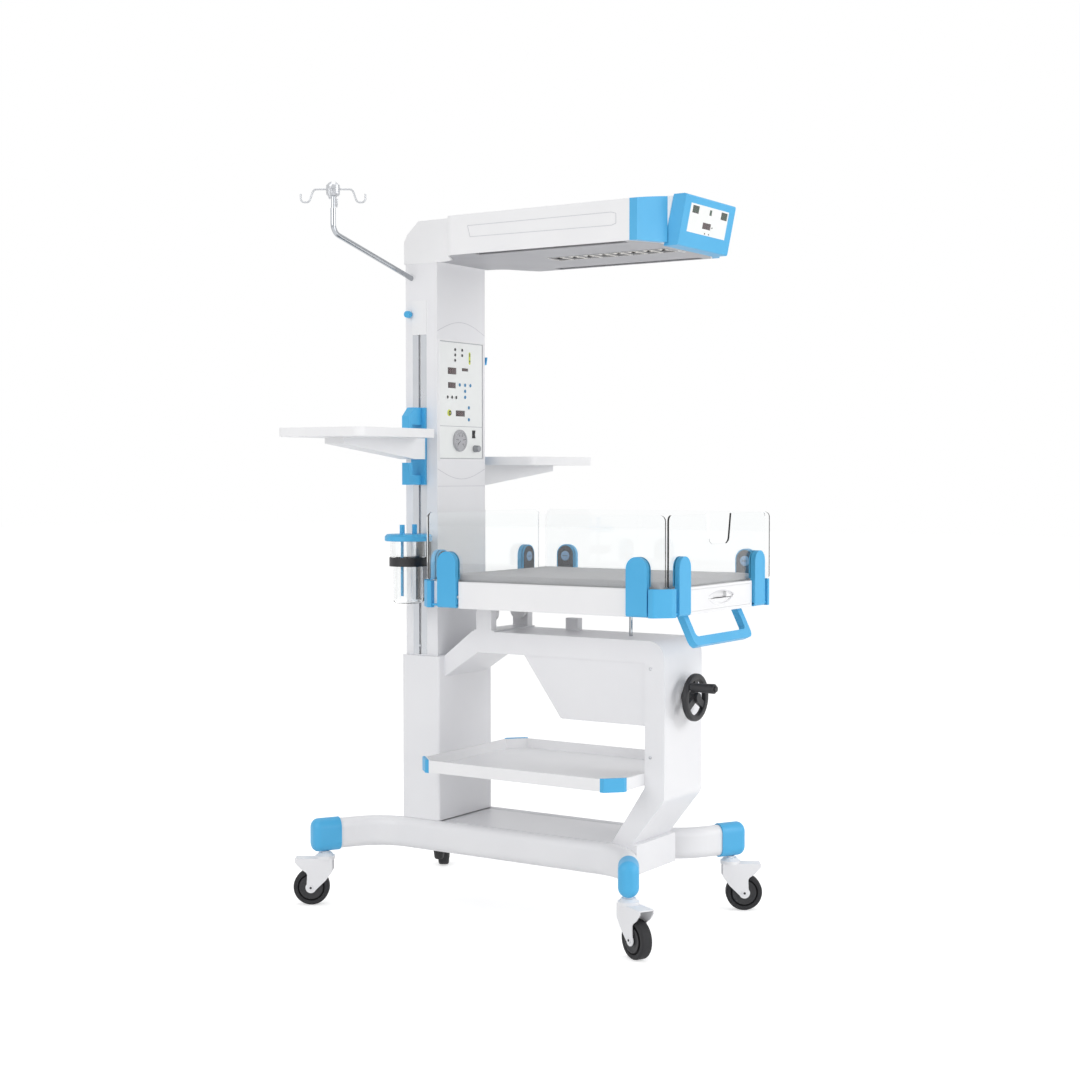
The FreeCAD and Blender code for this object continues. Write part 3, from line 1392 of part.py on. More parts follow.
def panels():
    """Four clear panels; each stands in two arms that turn about a pin at the foot.

    Every panel is drawn with its hinge along X through the origin and its outer side towards -Y.
    """
    front = -d.bed_front - d.hinge_inset
    rear = d.bed_back + d.hinge_inset
    side = d.bed_half + d.hinge_inset
    height = d.bed_bottom + d.hinge_height
    plans = [
        ("front", 0, front, 0, d.end_panel_half, d.end_arm_at, True),
        ("rear", 0, rear, 180, d.end_panel_half, d.end_arm_at, False),
        ("left", -side, -d.side_middle, -90, d.side_panel_half, d.side_arm_at, False),
        ("right", side, -d.side_middle, 90, d.side_panel_half, d.side_arm_at, False),
    ]
    half = d.arm_thick / 2
    screw_z = d.arm_top - 34
    for name, x, y, turn, wide, arm_at, slotted in plans:
        body = new_body("panel_" + name)
        corners = [(-wide, d.panel_low, 4), (wide, d.panel_low, 4), (wide, d.panel_high, d.panel_round)]
        if slotted:
            corners += [(d.slot_half + 12, d.panel_high), (d.slot_half, d.slot_low + 8, 14),
                        (d.slot_half - 14, d.slot_low), (14 - d.slot_half, d.slot_low),
                        (-d.slot_half, d.slot_low + 8, 14), (-d.slot_half - 12, d.panel_high)]
        corners.append((-wide, d.panel_high, d.panel_round))
        slab(body, "XZ", half, half + d.panel_thick, poly(*corners))
        hole = d.screw_radius + d.slide_gap
        cut(body, "XZ", half, half + d.panel_thick, disc(-arm_at, screw_z, hole), disc(arm_at, screw_z, hole))
        place(body, x, y, height, turn)

        pair = []
        for number, at in enumerate((-arm_at, arm_at)):
            arm = new_body("panel_arm_%s_%d" % (name, number), kept=False)
            slab(arm, "XZ", -half, half, poly(
                (-d.arm_half, -half), (d.arm_half, -half), (d.arm_half, d.arm_top - d.arm_half, 0, d.arm_half * 1.0001),
                (-d.arm_half, d.arm_top - d.arm_half)))
            rounds(arm, half - 0.02, lambda c: near(c.z, -d.arm_thick / 2) and near(abs(c.y), d.arm_thick / 2))
            slab(arm, "XZ", half, half + d.panel_thick, disc(0, screw_z, d.screw_radius))
            plate = half + d.panel_thick
            slab(arm, "XZ", plate, plate + d.plate_thick, poly(
                (-d.arm_half, d.panel_low + 2), (d.arm_half, d.panel_low + 2),
                (d.arm_half, d.arm_top - d.arm_half, 0, d.arm_half * 1.0001),
                (-d.arm_half, d.arm_top - d.arm_half)))
            cut(arm, "YZ", -d.arm_half, d.arm_half, disc(0, 0, d.pin_radius + d.shaft_fit))
            turned = as_size(turn)
            place(arm, x + at * cosine(turned), y + at * sine(turned), height, turned)
            pair.append(arm)
        group("panel_arms_" + name, pair)


bed()
panels()

doc.recompute()

failed = [o.Label for o in doc.Objects if "Invalid" in o.State or "Error" in o.State]
for body in nodes:
    if body.Shape.isNull() or not body.Shape.isValid():
        failed.append(body.Label + " shape")
for before, after in cuts:
    if not after.Shape.Volume < before.Shape.Volume - 0.01:
        failed.append(after.Label + " removes nothing")
if failed:
    raise RuntimeError("not built: " + ", ".join(failed))

os.makedirs("parts", exist_ok=True)
for body in nodes:
    body.Shape.exportStep("parts/%s.step" % body.Label)
print("%d nodes" % len(nodes))
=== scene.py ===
"""Infant radiant warmer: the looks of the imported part, in metres and in the part's own frame."""
import json
import math

import bmesh
import bpy
from mathutils import Matrix, Vector


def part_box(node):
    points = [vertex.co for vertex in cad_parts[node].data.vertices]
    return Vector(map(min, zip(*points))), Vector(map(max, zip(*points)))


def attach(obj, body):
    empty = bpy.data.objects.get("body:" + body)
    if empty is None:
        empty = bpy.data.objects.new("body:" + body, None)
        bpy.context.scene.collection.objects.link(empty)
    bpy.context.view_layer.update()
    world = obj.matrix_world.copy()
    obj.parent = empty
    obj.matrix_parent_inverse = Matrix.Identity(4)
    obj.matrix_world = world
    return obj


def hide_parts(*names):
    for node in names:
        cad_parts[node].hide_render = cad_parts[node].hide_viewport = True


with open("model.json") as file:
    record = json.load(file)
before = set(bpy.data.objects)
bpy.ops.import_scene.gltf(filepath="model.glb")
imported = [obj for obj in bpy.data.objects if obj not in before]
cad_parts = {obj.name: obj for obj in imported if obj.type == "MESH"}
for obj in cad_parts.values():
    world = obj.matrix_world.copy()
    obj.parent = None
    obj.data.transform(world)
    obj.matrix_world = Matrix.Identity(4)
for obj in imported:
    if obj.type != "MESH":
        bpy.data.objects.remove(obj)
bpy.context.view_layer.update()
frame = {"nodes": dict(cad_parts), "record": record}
MM = 0.001


# Materials

def linear(code):
    """An sRGB hex colour as the linear colour that a shader socket takes."""
    parts = [int(code[i:i + 2], 16) / 255 for i in (1, 3, 5)]
    return tuple(p / 12.92 if p <= 0.04045 else ((p + 0.055) / 1.055) ** 2.4 for p in parts) + (1.0,)


def add(tree, kind, settings=None, **sockets):
    """Adds a node with its own settings; a socket, by name or as s6 by number, gets a value or a link."""
    node = tree.nodes.new(kind)
    for name, value in (settings or {}).items():
        setattr(node, name, value)
    for name, value in sockets.items():
        key = int(name[1:]) if name[0] == "s" and name[1:].isdigit() else name.replace("_", " ")
        if isinstance(value, bpy.types.NodeSocket):
            tree.links.new(value, node.inputs[key])
        else:
            node.inputs[key].default_value = value
    return node


def blank(name):
    """A new material whose tree is empty."""
    material = bpy.data.materials.new(name)
    material.use_nodes = True
    material.node_tree.nodes.clear()
    return material


def surface(name, colour, shade, patch_mm, grain_mm, grain_depth, rough, stretch=(1, 1, 1), **constants):
    """A finish with large soft patches of shade and a fine relief, both sized in millimetres."""
    material = blank(name)
    tree = material.node_tree
    place = add(tree, "ShaderNodeTexCoord").outputs["Object"]
    patch = add(tree, "ShaderNodeTexNoise", Vector=place, Scale=1000 / patch_mm, Detail=3.0)
    sized = add(tree, "ShaderNodeMapping", Vector=place, Scale=stretch)
    grain = add(tree, "ShaderNodeTexNoise", Vector=sized.outputs[0], Scale=1000 / grain_mm, Detail=2.0)
    tint = add(tree, "ShaderNodeMix", {"data_type": "RGBA"}, s0=patch.outputs["Fac"],
               s6=linear(colour), s7=linear(shade))
    gloss = add(tree, "ShaderNodeMapRange", Value=patch.outputs["Fac"], To_Min=rough[0], To_Max=rough[1])
    relief = add(tree, "ShaderNodeBump", Height=grain.outputs["Fac"], Strength=0.35,
                 Distance=grain_depth * MM)
    shader = add(tree, "ShaderNodeBsdfPrincipled", Base_Color=tint.outputs[2],
                 Roughness=gloss.outputs["Result"], Normal=relief.outputs["Normal"], **constants)
    add(tree, "ShaderNodeOutputMaterial", Surface=shader.outputs["BSDF"])
    return material


# Powder coat on welded steel: satin white with the faint orange peel of a baked coat.
powder_coat = surface("powder_coated_steel_white", "#F0F0F2", "#E9E9EC", 160, 2.6, 0.05, (0.34, 0.42))
# Moulded ABS, spark-eroded tool: matt white skin that scatters its highlights.
white_abs = surface("moulded_abs_white", "#F4F4F5", "#ECECEE", 120, 1.1, 0.03, (0.44, 0.54))
# The same moulding in sky blue, slightly deeper where the skin is thicker.
blue_abs = surface("moulded_abs_sky_blue", "#50B5E7", "#42A8DC", 110, 1.1, 0.03, (0.38, 0.48))
# Glass-filled nylon: black with a greyish sheen from the fibres at the skin.
black_nylon = surface("glass_filled_nylon_black", "#18181B", "#222226", 30, 0.9, 0.04, (0.42, 0.58))
# Moulded ABS in mid grey for the face that looks down on the bed.
grey_abs = surface("moulded_abs_grey", "#B9B9BD", "#AFAFB4", 120, 1.1, 0.03, (0.46, 0.56))
# Thermoplastic rubber tread: dull charcoal with a dry, slightly scuffed skin.
tread_rubber = surface("thermoplastic_rubber_charcoal", "#1A1A1D", "#252528", 18, 0.8, 0.05, (0.66, 0.82))
# Extruded aluminium, satin anodised: fine die lines run up the rail.
anodised = surface("anodised_aluminium_satin", "#CDD0D4", "#BFC2C7", 60, 0.7, 0.03, (0.24, 0.34),
                   (1, 1, 0.01), Metallic=1.0)
# Chrome plate over polished steel tube: a near mirror with faint polishing haze.
chrome = surface("polished_chrome_plate", "#B2B5B9", "#A4A7AB", 40, 0.6, 0.008, (0.07, 0.14), Metallic=1.0)
# Bright annealed stainless sheet behind the heater: rolled, slightly brushed along its length.
reflector = surface("bright_annealed_stainless_sheet", "#D6D4D0", "#C9C7C3", 50, 0.8, 0.02, (0.18, 0.28),
                    (1, 0.02, 1), Metallic=1.0)
# Screen printed polyester overlay: flat, near matt, very even white.
film = surface("printed_polyester_film_white", "#F3F5F4", "#EDEFEE", 60, 0.5, 0.008, (0.36, 0.44))
# Smoked polycarbonate display window: dark, glossy, with a hint of brown.
smoked = surface("smoked_polycarbonate_window", "#3A3334", "#2E292A", 25, 3.0, 0.004, (0.16, 0.24),
                 Coat_Weight=0.4)
# Unlit seven-segment elements seen through the window: red ones look a dusty grey rose.
segment_red = surface("unlit_segment_red_grey", "#8C7476", "#7C6668", 10, 0.8, 0.004, (0.4, 0.5))
# Unlit green elements: a dull grey green, darker than the red ones.
segment_green = surface("unlit_segment_green_grey", "#4E7A62", "#456C57", 10, 0.8, 0.004, (0.4, 0.5))
# Tinted epoxy lens of an indicator lamp, unlit: nearly black, with a sharp highlight.
lens_dark = surface("smoked_epoxy_lens", "#26272A", "#1F2023", 8, 0.8, 0.006, (0.14, 0.22), Coat_Weight=0.5)
# Lime tinted acrylic lens: bright yellow green even while it is unlit.
lens_lime = surface("lime_tinted_lens", "#D9E35A", "#C9D44C", 8, 0.8, 0.006, (0.2, 0.3), Coat_Weight=0.4)
# Embossed membrane key, printed blue under a matt polyester skin.
key_blue = surface("membrane_key_blue", "#3585B4", "#2E7AA8", 10, 0.6, 0.01, (0.34, 0.42))
# Moulded thermoplastic elastomer pad under the clamp plate: dark slate, dry.
slate_pad = surface("elastomer_pad_slate", "#4A4F57", "#42474F", 20, 0.9, 0.04, (0.6, 0.74))
# Lacquered thumb screw head: pale blue with a soft shine.
screw_blue = surface("lacquered_screw_pale_blue", "#8FB4D6", "#82A8CC", 12, 0.8, 0.02, (0.3, 0.42))
# Zinc-plated steel screws: pale grey, softly mirrored.
zinc = surface("zinc_plated_steel", "#C4C6C9", "#B4B6BA", 9, 0.8, 0.02, (0.26, 0.4), Metallic=1.0)
# Painted shade: a pale grey that stands in for the shadow along lines pressed into the paint, where two
# sheets or shells meet.
groove_shade = surface("seam_shadow_grey", "#D2D2D7", "#CBCBD0", 40, 1.0, 0.01, (0.6, 0.7))
# Grey ink that borders the control film: flat and even.
border_grey = surface("printed_border_grey", "#B4B5BA", "#ACADB2", 40, 0.6, 0.006, (0.4, 0.5))
# Fused quartz tube of the heater, milky from the coil inside it.
quartz = surface("fused_quartz_milky", "#E9E4DC", "#DCD5CB", 30, 1.2, 0.01, (0.14, 0.22), Coat_Weight=0.5)
# Turned aluminium of the flow knob, satin from its fine tool marks.
turned_metal = surface("turned_aluminium_satin", "#A6A8AC", "#94969A", 12, 0.6, 0.02, (0.28, 0.4),
                       Metallic=1.0)
# Hooks of the infusion pole: white coated wire whose thin coat leaves it a soft silver grey.
hook_wire = surface("coated_wire_silver_grey", "#C9CBCE", "#BDBFC3", 14, 0.7, 0.015, (0.22, 0.34),
                    Metallic=0.4)
# Nitrile rubber of the mains boot under the deck: black and dull.
foot_rubber = surface("nitrile_rubber_black", "#1A1A1C", "#242427", 12, 0.8, 0.04, (0.5, 0.66))


def clear_sheet():
    """Cast acrylic sheet: water clear and polished, with a trace of haze in large patches."""
    material = blank("cast_acrylic_clear")
    tree = material.node_tree
    place = add(tree, "ShaderNodeTexCoord").outputs["Object"]
    haze = add(tree, "ShaderNodeTexNoise", Vector=place, Scale=14.0, Detail=2.0)
    gloss = add(tree, "ShaderNodeMapRange", Value=haze.outputs["Fac"], To_Min=0.0, To_Max=0.03)
    clear = add(tree, "ShaderNodeBsdfPrincipled", Base_Color=linear("#FDFEFE"), IOR=1.49,
                Transmission_Weight=1.0, Roughness=gloss.outputs["Result"])
    add(tree, "ShaderNodeOutputMaterial", Surface=clear.outputs["BSDF"])
    return material


def wave_scale(pitch_mm):
    """The scale that makes a wave texture, which runs 20 radians to its unit, repeat after a pitch."""
    return math.tau / 20 / (pitch_mm * MM)


def knit_cover():
    """Mattress cover: polyurethane-coated knit, a soft wipe-clean mid grey.

    Its rib is about 1 mm in the cloth and drawn at 4.7 by 5.9 mm, so that it shows.
    """
    material = blank("coated_knit_cover_grey")
    tree = material.node_tree
    place = add(tree, "ShaderNodeTexCoord").outputs["Object"]
    rib = add(tree, "ShaderNodeTexWave", {"bands_direction": "X"}, Vector=place, Scale=wave_scale(4.737),
              Distortion=1.2, Detail=2.0)
    row = add(tree, "ShaderNodeTexWave", {"bands_direction": "Y"}, Vector=place, Scale=wave_scale(5.922),
              Distortion=1.0, Detail=2.0)
    knit = add(tree, "ShaderNodeMath", {"operation": "MULTIPLY"}, s0=rib.outputs["Fac"],
               s1=row.outputs["Fac"])
    patch = add(tree, "ShaderNodeTexNoise", Vector=place, Scale=9.0, Detail=3.0)
    tint = add(tree, "ShaderNodeMix", {"data_type": "RGBA"}, s0=patch.outputs["Fac"],
               s6=linear("#B4B4B6"), s7=linear("#A8A8AB"))
    relief = add(tree, "ShaderNodeBump", Height=knit.outputs[0], Strength=0.4, Distance=0.12 * MM)
    cloth = add(tree, "ShaderNodeBsdfPrincipled", Base_Color=tint.outputs[2], Roughness=0.62,
                Normal=relief.outputs["Normal"], Sheen_Weight=0.15)
    add(tree, "ShaderNodeOutputMaterial", Surface=cloth.outputs["BSDF"])
    return material


acrylic = clear_sheet()
cover = knit_cover()

FINISH = {
    "white_paint": powder_coat, "white_plastic": white_abs, "blue_plastic": blue_abs,
    "black_plastic": black_nylon, "grey_plastic": grey_abs, "wheel_rubber": tread_rubber,
    "rail_aluminium": anodised, "bright_chrome": chrome, "reflector_steel": reflector,
    "clear_acrylic": acrylic, "mattress_cover": cover, "screen_film": film,
}
# Two small pieces whose real finish differs from the rest of their slot.
SPECIAL = {"flow_knob": turned_metal, "iv_hook_head": hook_wire}
for row in frame["record"]["subparts"]:
    data = frame["nodes"][row["node"]].data
    data.materials.clear()
    data.materials.append(SPECIAL.get(row["node"], FINISH[row["material_slot"]]))


# Shapes, in millimetres

LEFT, RIGHT = (-1, 0, 0), (1, 0, 0)
FORWARD, BACK = (0, -1, 0), (0, 1, 0)
DOWN = (0, 0, -1)
DOME = 0.3
SHARP = math.radians(35)


def edges_of(verts):
    """Each edge of the given vertices, once and in their order."""
    return list(dict.fromkeys(e for v in verts for e in v.link_edges))


def joined(verts):
    """Every vertex of the shape that the given ones belong to."""
    whole = set(verts)
    stack = list(verts)
    while stack:
        for edge in stack.pop().link_edges:
            for v in edge.verts:
                if v not in whole:
                    whole.add(v)
                    stack.append(v)
    return list(whole)


def block(mesh, low, high, round_off, steps=2, turn=None, upright=False):
    """A box between two corners with all its edges rounded, or only those along its thin way."""
    low, high = Vector(low), Vector(high)
    size = high - low
    made = bmesh.ops.create_cube(mesh, size=1)["verts"]
    bmesh.ops.scale(mesh, vec=size, verts=made)
    bmesh.ops.translate(mesh, vec=(low + high) / 2, verts=made)
    edges = edges_of(made)
    if upright:
        thin = min(range(3), key=lambda k: size[k])
        edges = [e for e in edges if abs((e.verts[0].co - e.verts[1].co)[thin]) > size[thin] / 2]
    made = bmesh.ops.bevel(mesh, geom=edges, offset=round_off, affect="EDGES", segments=steps,
                           profile=0.5, material=-1)["verts"]
    if turn is not None:
        bmesh.ops.transform(mesh, matrix=turn, verts=joined(made))


def standing(at, axis):
    """The turn and shift that bring a shape drawn up +Z to a point and along an axis."""
    turn = Vector((0, 0, 1)).rotation_difference(Vector(axis)).to_matrix().to_4x4()
    return Matrix.Translation(Vector(at)) @ turn


def button(mesh, at, axis, radius, height, steps=32):
    """A round head that rises from a point along an axis, with a rolled rim."""
    up = Vector(axis).normalized()
    foot = bmesh.ops.create_circle(mesh, cap_ends=False, radius=radius, segments=steps,
                                   matrix=standing(at, axis))["verts"]
    ring = edges_of(foot)
    for rise, inset in ((height * (1 - DOME), 0.0), (height * DOME * 0.7, radius * DOME * 0.3),
                        (height * DOME * 0.3, radius * DOME * 0.6)):
        grown = bmesh.ops.extrude_edge_only(mesh, edges=ring)["geom"]
        verts = [g for g in grown if isinstance(g, bmesh.types.BMVert)]
        ring = [g for g in grown if isinstance(g, bmesh.types.BMEdge) and set(g.verts).issubset(verts)]
        bmesh.ops.translate(mesh, vec=up * rise, verts=verts)
        centre = sum((v.co for v in verts), Vector()) / len(verts)
        for v in verts:
            v.co = centre + (v.co - centre) * (1 - inset / (v.co - centre).length)
    bmesh.ops.contextual_create(mesh, geom=ring)
    bmesh.ops.contextual_create(mesh, geom=[e for e in edges_of(foot) if len(e.link_faces) == 1])


def turned(mesh, outline, at, axis, steps):
    """A lathe shape: its outline is (radius, height) pairs along the axis."""
    verts = [mesh.verts.new((radius, 0, height)) for radius, height in outline]
    edges = [mesh.edges.new(pair) for pair in zip(verts, verts[1:])]
    bmesh.ops.spin(mesh, geom=verts + edges, cent=(0, 0, 0), axis=(0, 0, 1), angle=math.tau,
                   steps=steps, use_merge=True, use_duplicate=False)
    bmesh.ops.transform(mesh, matrix=standing(at, axis), verts=joined(verts))


def plate(mesh, outline, thick, turn):
    """A flat plate: its outline lies in the XY plane of the turn and it grows along that plane's +Z."""
    face = mesh.faces.new([mesh.verts.new((x, y, 0)) for x, y in outline])
    grown = bmesh.ops.extrude_face_region(mesh, geom=[face])["geom"]
    top = [g for g in grown if isinstance(g, bmesh.types.BMVert)]
    bmesh.ops.translate(mesh, vec=(0, 0, thick), verts=top)
    bmesh.ops.transform(mesh, matrix=turn, verts=top + list(face.verts))


def ribbon(mesh, points, wide, thick, turn):
    """A thin raised line through points in the XY plane of the turn."""
    for a, b in zip(points, points[1:]):
        a, b = Vector(a), Vector(b)
        side = Vector((a.y - b.y, b.x - a.x)).normalized() * wide / 2
        plate(mesh, [a - side, b - side, b + side, a + side], thick, turn)


def rect(x0, x1, z0, z1):
    """The outline of a rectangle."""
    return [(x0, z0), (x1, z0), (x1, z1), (x0, z1)]


def arch(half, low, high, steps=14):
    """The outline of an upright plate with a round top."""
    angles = [math.pi * i / steps for i in range(steps + 1)]
    bow = [(half * math.cos(a), high - half + half * math.sin(a)) for a in angles]
    return [(-half, low), (half, low)] + bow


def wave_line(half, level, rise, steps=24):
    """Points of half a sine wave over a span."""
    return [(-half + 2 * half * i / steps, level + rise * math.sin(math.pi * i / steps))
            for i in range(steps + 1)]


def bow_line(half, level, radius, way, steps=18):
    """Points of a flat arc over a span, bowed up or down."""
    drop = math.sqrt(radius * radius - half * half)
    spots = [half * (2 * i / steps - 1) for i in range(steps + 1)]
    return [(x, level + way * (math.sqrt(radius * radius - x * x) - drop)) for x in spots]


# Drawings on a face that looks forward: x stays, y becomes height, and plates grow outwards.
FRONT = Matrix(((1, 0, 0, 0), (0, 0, -1, 0), (0, 1, 0, 0), (0, 0, 0, 1)))


def at_front(y):
    """The turn of a drawing on a forward face at y."""
    return Matrix.Translation((0, y, 0)) @ FRONT


def figures(mesh, x, z, tall, count, turn, gap=0.34):
    """Seven-segment figures, all of them unlit, from a lower left corner."""
    wide = tall * 0.5
    bar = tall * 0.11
    for i in range(count):
        left = x + i * wide * (1 + gap)
        for a, b in (((0, 0), (1, 0)), ((0, 0.5), (1, 0.5)), ((0, 1), (1, 1)), ((0, 0), (0, 0.5)),
                     ((1, 0), (1, 0.5)), ((0, 0.5), (0, 1)), ((1, 0.5), (1, 1))):
            start = Vector((left + a[0] * wide, z + a[1] * tall))
            end = Vector((left + b[0] * wide, z + b[1] * tall))
            shorter = (end - start).normalized() * bar * 0.7
            ribbon(mesh, [start + shorter, end - shorter], bar, 0.12, turn)


def placed(name, data):
    """A new object of the scene, at the origin."""
    made = bpy.data.objects.new(name, data)
    bpy.context.scene.collection.objects.link(made)
    return made


def as_mesh(shapes, name):
    """The drawn shapes as a mesh, brought from millimetres to metres."""
    bmesh.ops.scale(shapes, vec=(MM, MM, MM), verts=shapes.verts)
    bmesh.ops.remove_doubles(shapes, verts=shapes.verts, dist=1e-7)
    bmesh.ops.recalc_face_normals(shapes, faces=shapes.faces)
    data = bpy.data.meshes.new(name)
    shapes.to_mesh(data)
    shapes.free()
    return data


def piece(shapes, name, material, body):
    """Makes the drawn shapes an object that rides on a body."""
    data = as_mesh(shapes, name)
    data.materials.append(material)
    data.shade_smooth()
    data.set_sharp_from_angle(angle=SHARP)
    made = placed(name, data)
    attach(made, body)


# Controller on the column. Outwards is towards -Y, and each drawn piece starts just inside its face.

FILM_Y = 220.0
LAMP_Y = FILM_Y + 0.1
PRINT_Y = FILM_Y + 0.05
KEY_Y = 219.3
BAR_FRONT_Y, MARK_FRONT_Y, RING_Y = 219.2, 218.9, 219.05
WINDOW_Y, WINDOW_BACK_Y = 220.25, 220.85
FIGURE_Y = 220.24


def panel_keys():
    """Round blue keys on the raised squares of the film."""
    shapes = bmesh.new()
    for x, z in ((-8, 1455), (18, 1455), (44, 1455), (18, 1438), (18, 1421), (36, 1392), (36, 1358)):
        button(shapes, (x, KEY_Y, z), FORWARD, radius=4.9, height=0.9)
    piece(shapes, "panel_keys_blue", key_blue, "base")


def panel_lamps():
    """Dark round lamps, and the lime bar and power lamp with black marks on them."""
    shapes = bmesh.new()
    for x, z in ((-29, 1553), (-29, 1538), (-29, 1523), (5, 1553), (5, 1538)):
        button(shapes, (x, LAMP_Y, z), FORWARD, radius=4.3, height=1.2)
    for x in (-66, -45, -25):
        button(shapes, (x, KEY_Y, 1419), FORWARD, radius=4.6, height=0.9)
    piece(shapes, "panel_lamps_dark", lens_dark, "base")

    shapes = bmesh.new()
    block(shapes, (37, BAR_FRONT_Y, 1514), (45, LAMP_Y, 1549), round_off=3.9, steps=6, upright=True)
    button(shapes, (-57.5, LAMP_Y, 1375), FORWARD, radius=9.5, height=1.0)
    piece(shapes, "panel_lamps_lime", lens_lime, "base")

    shapes = bmesh.new()
    block(shapes, (39.6, MARK_FRONT_Y, 1536), (42.4, KEY_Y, 1546), round_off=0.6)
    block(shapes, (38.6, MARK_FRONT_Y, 1521), (43.4, KEY_Y, 1526), round_off=0.6)
    ring = [(3.2, 0), (6.4, 0), (6.4, 0.5), (3.2, 0.5), (3.2, 0)]
    turned(shapes, ring, (-55, RING_Y, 1375), FORWARD, steps=32)
    piece(shapes, "panel_lamp_marks", black_nylon, "base")


def panel_displays():
    """Dark windows sunk in the film, with unlit figures on them."""
    shapes = bmesh.new()
    for x0, x1, z0, z1 in ((-63.4, -23.6, 1483.4, 1501.8), (-62.4, -26.6, 1444.6, 1460.6),
                           (4.4, 33.6, 1494.4, 1502.8), (-25.4, 17.4, 1366.4, 1382.8)):
        block(shapes, (x0, WINDOW_Y, z0), (x1, WINDOW_BACK_Y, z1), round_off=0.25)
    piece(shapes, "panel_windows", smoked, "base")

    in_window = at_front(FIGURE_Y)
    shapes = bmesh.new()
    figures(shapes, -59, 1486, tall=13, count=4, turn=in_window)
    figures(shapes, -57, 1447, tall=11, count=4, turn=in_window)
    figures(shapes, 8, 1496, tall=5.2, count=5, turn=in_window)
    figures(shapes, -21, 1369, tall=11, count=4, turn=in_window, gap=0.45)
    piece(shapes, "panel_figures", segment_red, "base")


def panel_lines():
    """The printed border of the film and the line above the gauge."""
    half, low, high, divide = 103.6, 1247.6, 1573.4, 1338
    on_film = at_front(PRINT_Y)
    shapes = bmesh.new()
    ribbon(shapes, [(-103, divide), (103, divide)], wide=1.4, thick=0.25, turn=on_film)
    border = rect(-half, half, low, high)
    ribbon(shapes, border + border[:1], wide=2.4, thick=0.25, turn=on_film)
    piece(shapes, "panel_printed_lines", border_grey, "base")


# Suction gauge: its dial runs clockwise over 270 degrees, with 15 steps and a figure at every third.

DIAL_X, DIAL_Z = -10, 1298
DIAL_Y, NEEDLE_Y, LETTER_Y = 214.05, 213.8, 213.95
ZERO, STEP, STEPS = 225, 18, 15


def on_dial(radius, degrees):
    """A point of the dial, from its centre."""
    turn = math.radians(degrees)
    return Vector((DIAL_X + radius * math.cos(turn), DIAL_Z + radius * math.sin(turn)))


def gauge_marks():
    """A mark at each step, longer and wider where a figure stands, with a needle and its boss."""
    outer, needle, resting = 24, 19, 216
    shapes = bmesh.new()
    for i in range(STEPS + 1):
        turn = ZERO - i * STEP
        inner, wide = (20.5, 0.8) if i % 3 else (18.5, 1.3)
        ribbon(shapes, [on_dial(inner, turn), on_dial(outer, turn)], wide, 0.2, at_front(DIAL_Y))
    ribbon(shapes, [(DIAL_X, DIAL_Z), on_dial(needle, resting)], wide=1.1, thick=0.5,
           turn=at_front(NEEDLE_Y))
    piece(shapes, "gauge_marks", black_nylon, "base")

    shapes = bmesh.new()
    button(shapes, (DIAL_X, DIAL_Y, DIAL_Z), FORWARD, radius=3.4, height=1.5)
    piece(shapes, "gauge_boss", zinc, "base")


def gauge_figures():
    """A printed figure inside each longer mark."""
    circle = 14.5
    for i, words in enumerate(("0", "20", "40", "60", "80", "100")):
        letters = bpy.data.curves.new("gauge_figure", "FONT")
        letters.body = words
        letters.align_x = "CENTER"
        letters.align_y = "CENTER"
        letters.size = 5.2
        letters.extrude = 0.08
        holder = placed("gauge_figure", letters)
        bpy.context.view_layer.update()
        flat = bpy.data.meshes.new_from_object(holder)
        bpy.data.objects.remove(holder)
        shapes = bmesh.new()
        shapes.from_mesh(flat)
        x, z = on_dial(circle, ZERO - i * 3 * STEP)
        bmesh.ops.transform(shapes, matrix=Matrix.Translation((x, LETTER_Y, z)) @ FRONT, verts=shapes.verts)
        piece(shapes, "gauge_figure_" + words, black_nylon, "base")


# Display on the head: its face leans forward, so the pieces are drawn flat and turned onto it.

SCREEN_Y, SCREEN_Z = -547.8, 1788
SCREEN_FORWARD, SCREEN_RISE = 23.1, 112
LEAN = math.atan2(SCREEN_FORWARD, SCREEN_RISE)
SCREEN = Matrix.Translation((0, SCREEN_Y, SCREEN_Z)) @ Matrix.Rotation(LEAN, 4, "X") @ FRONT
WINDOW_FLOOR, WINDOW_FACE, LENS_FACE = -0.75, -0.24, 0.02


def on_screen(raised):
    """The turn of a drawing that lies a little above the face, or below it in a window."""
    return SCREEN @ Matrix.Translation((0, 0, raised))


def screen_display():
    """Windows and small lamps, unlit figures in two colours, and the steps of the heater's power."""
    shapes = bmesh.new()
    for x0, x1, z0, z1 in ((-91.6, -58.4, 79, 97.6), (64.4, 97.6, 79, 97.6), (0.4, 11.6, 82, 95.6),
                           (-25.6, 17.6, 45.3, 60.9)):
        plate(shapes, rect(x0, x1, z0, z1), 0.5, on_screen(WINDOW_FLOOR))
    for x, z in ((26, 52), (-8, 34), (14, 34)):
        plate(shapes, rect(x - 2.6, x + 2.6, z - 1.6, z + 1.6), 0.3, on_screen(LENS_FACE))
    piece(shapes, "screen_windows", smoked, "base")

    in_window = on_screen(WINDOW_FACE)
    shapes = bmesh.new()
    for x in (-88.5, 67.5):
        figures(shapes, x, 82, tall=13, count=3, turn=in_window, gap=0.75)
    piece(shapes, "screen_figures_green", segment_green, "base")

    shapes = bmesh.new()
    figures(shapes, -22, 47.5, tall=11.4, count=4, turn=in_window, gap=0.85)
    piece(shapes, "screen_figures_red", segment_red, "base")

    shapes = bmesh.new()
    first, pitch, tall = 83.4, 2.4, 1.4
    for i in range(5):
        low = first + i * pitch
        plate(shapes, rect(2.4, 9.6, low, low + tall), 0.12, in_window)
    piece(shapes, "screen_power_steps", segment_green, "base")


# Bed

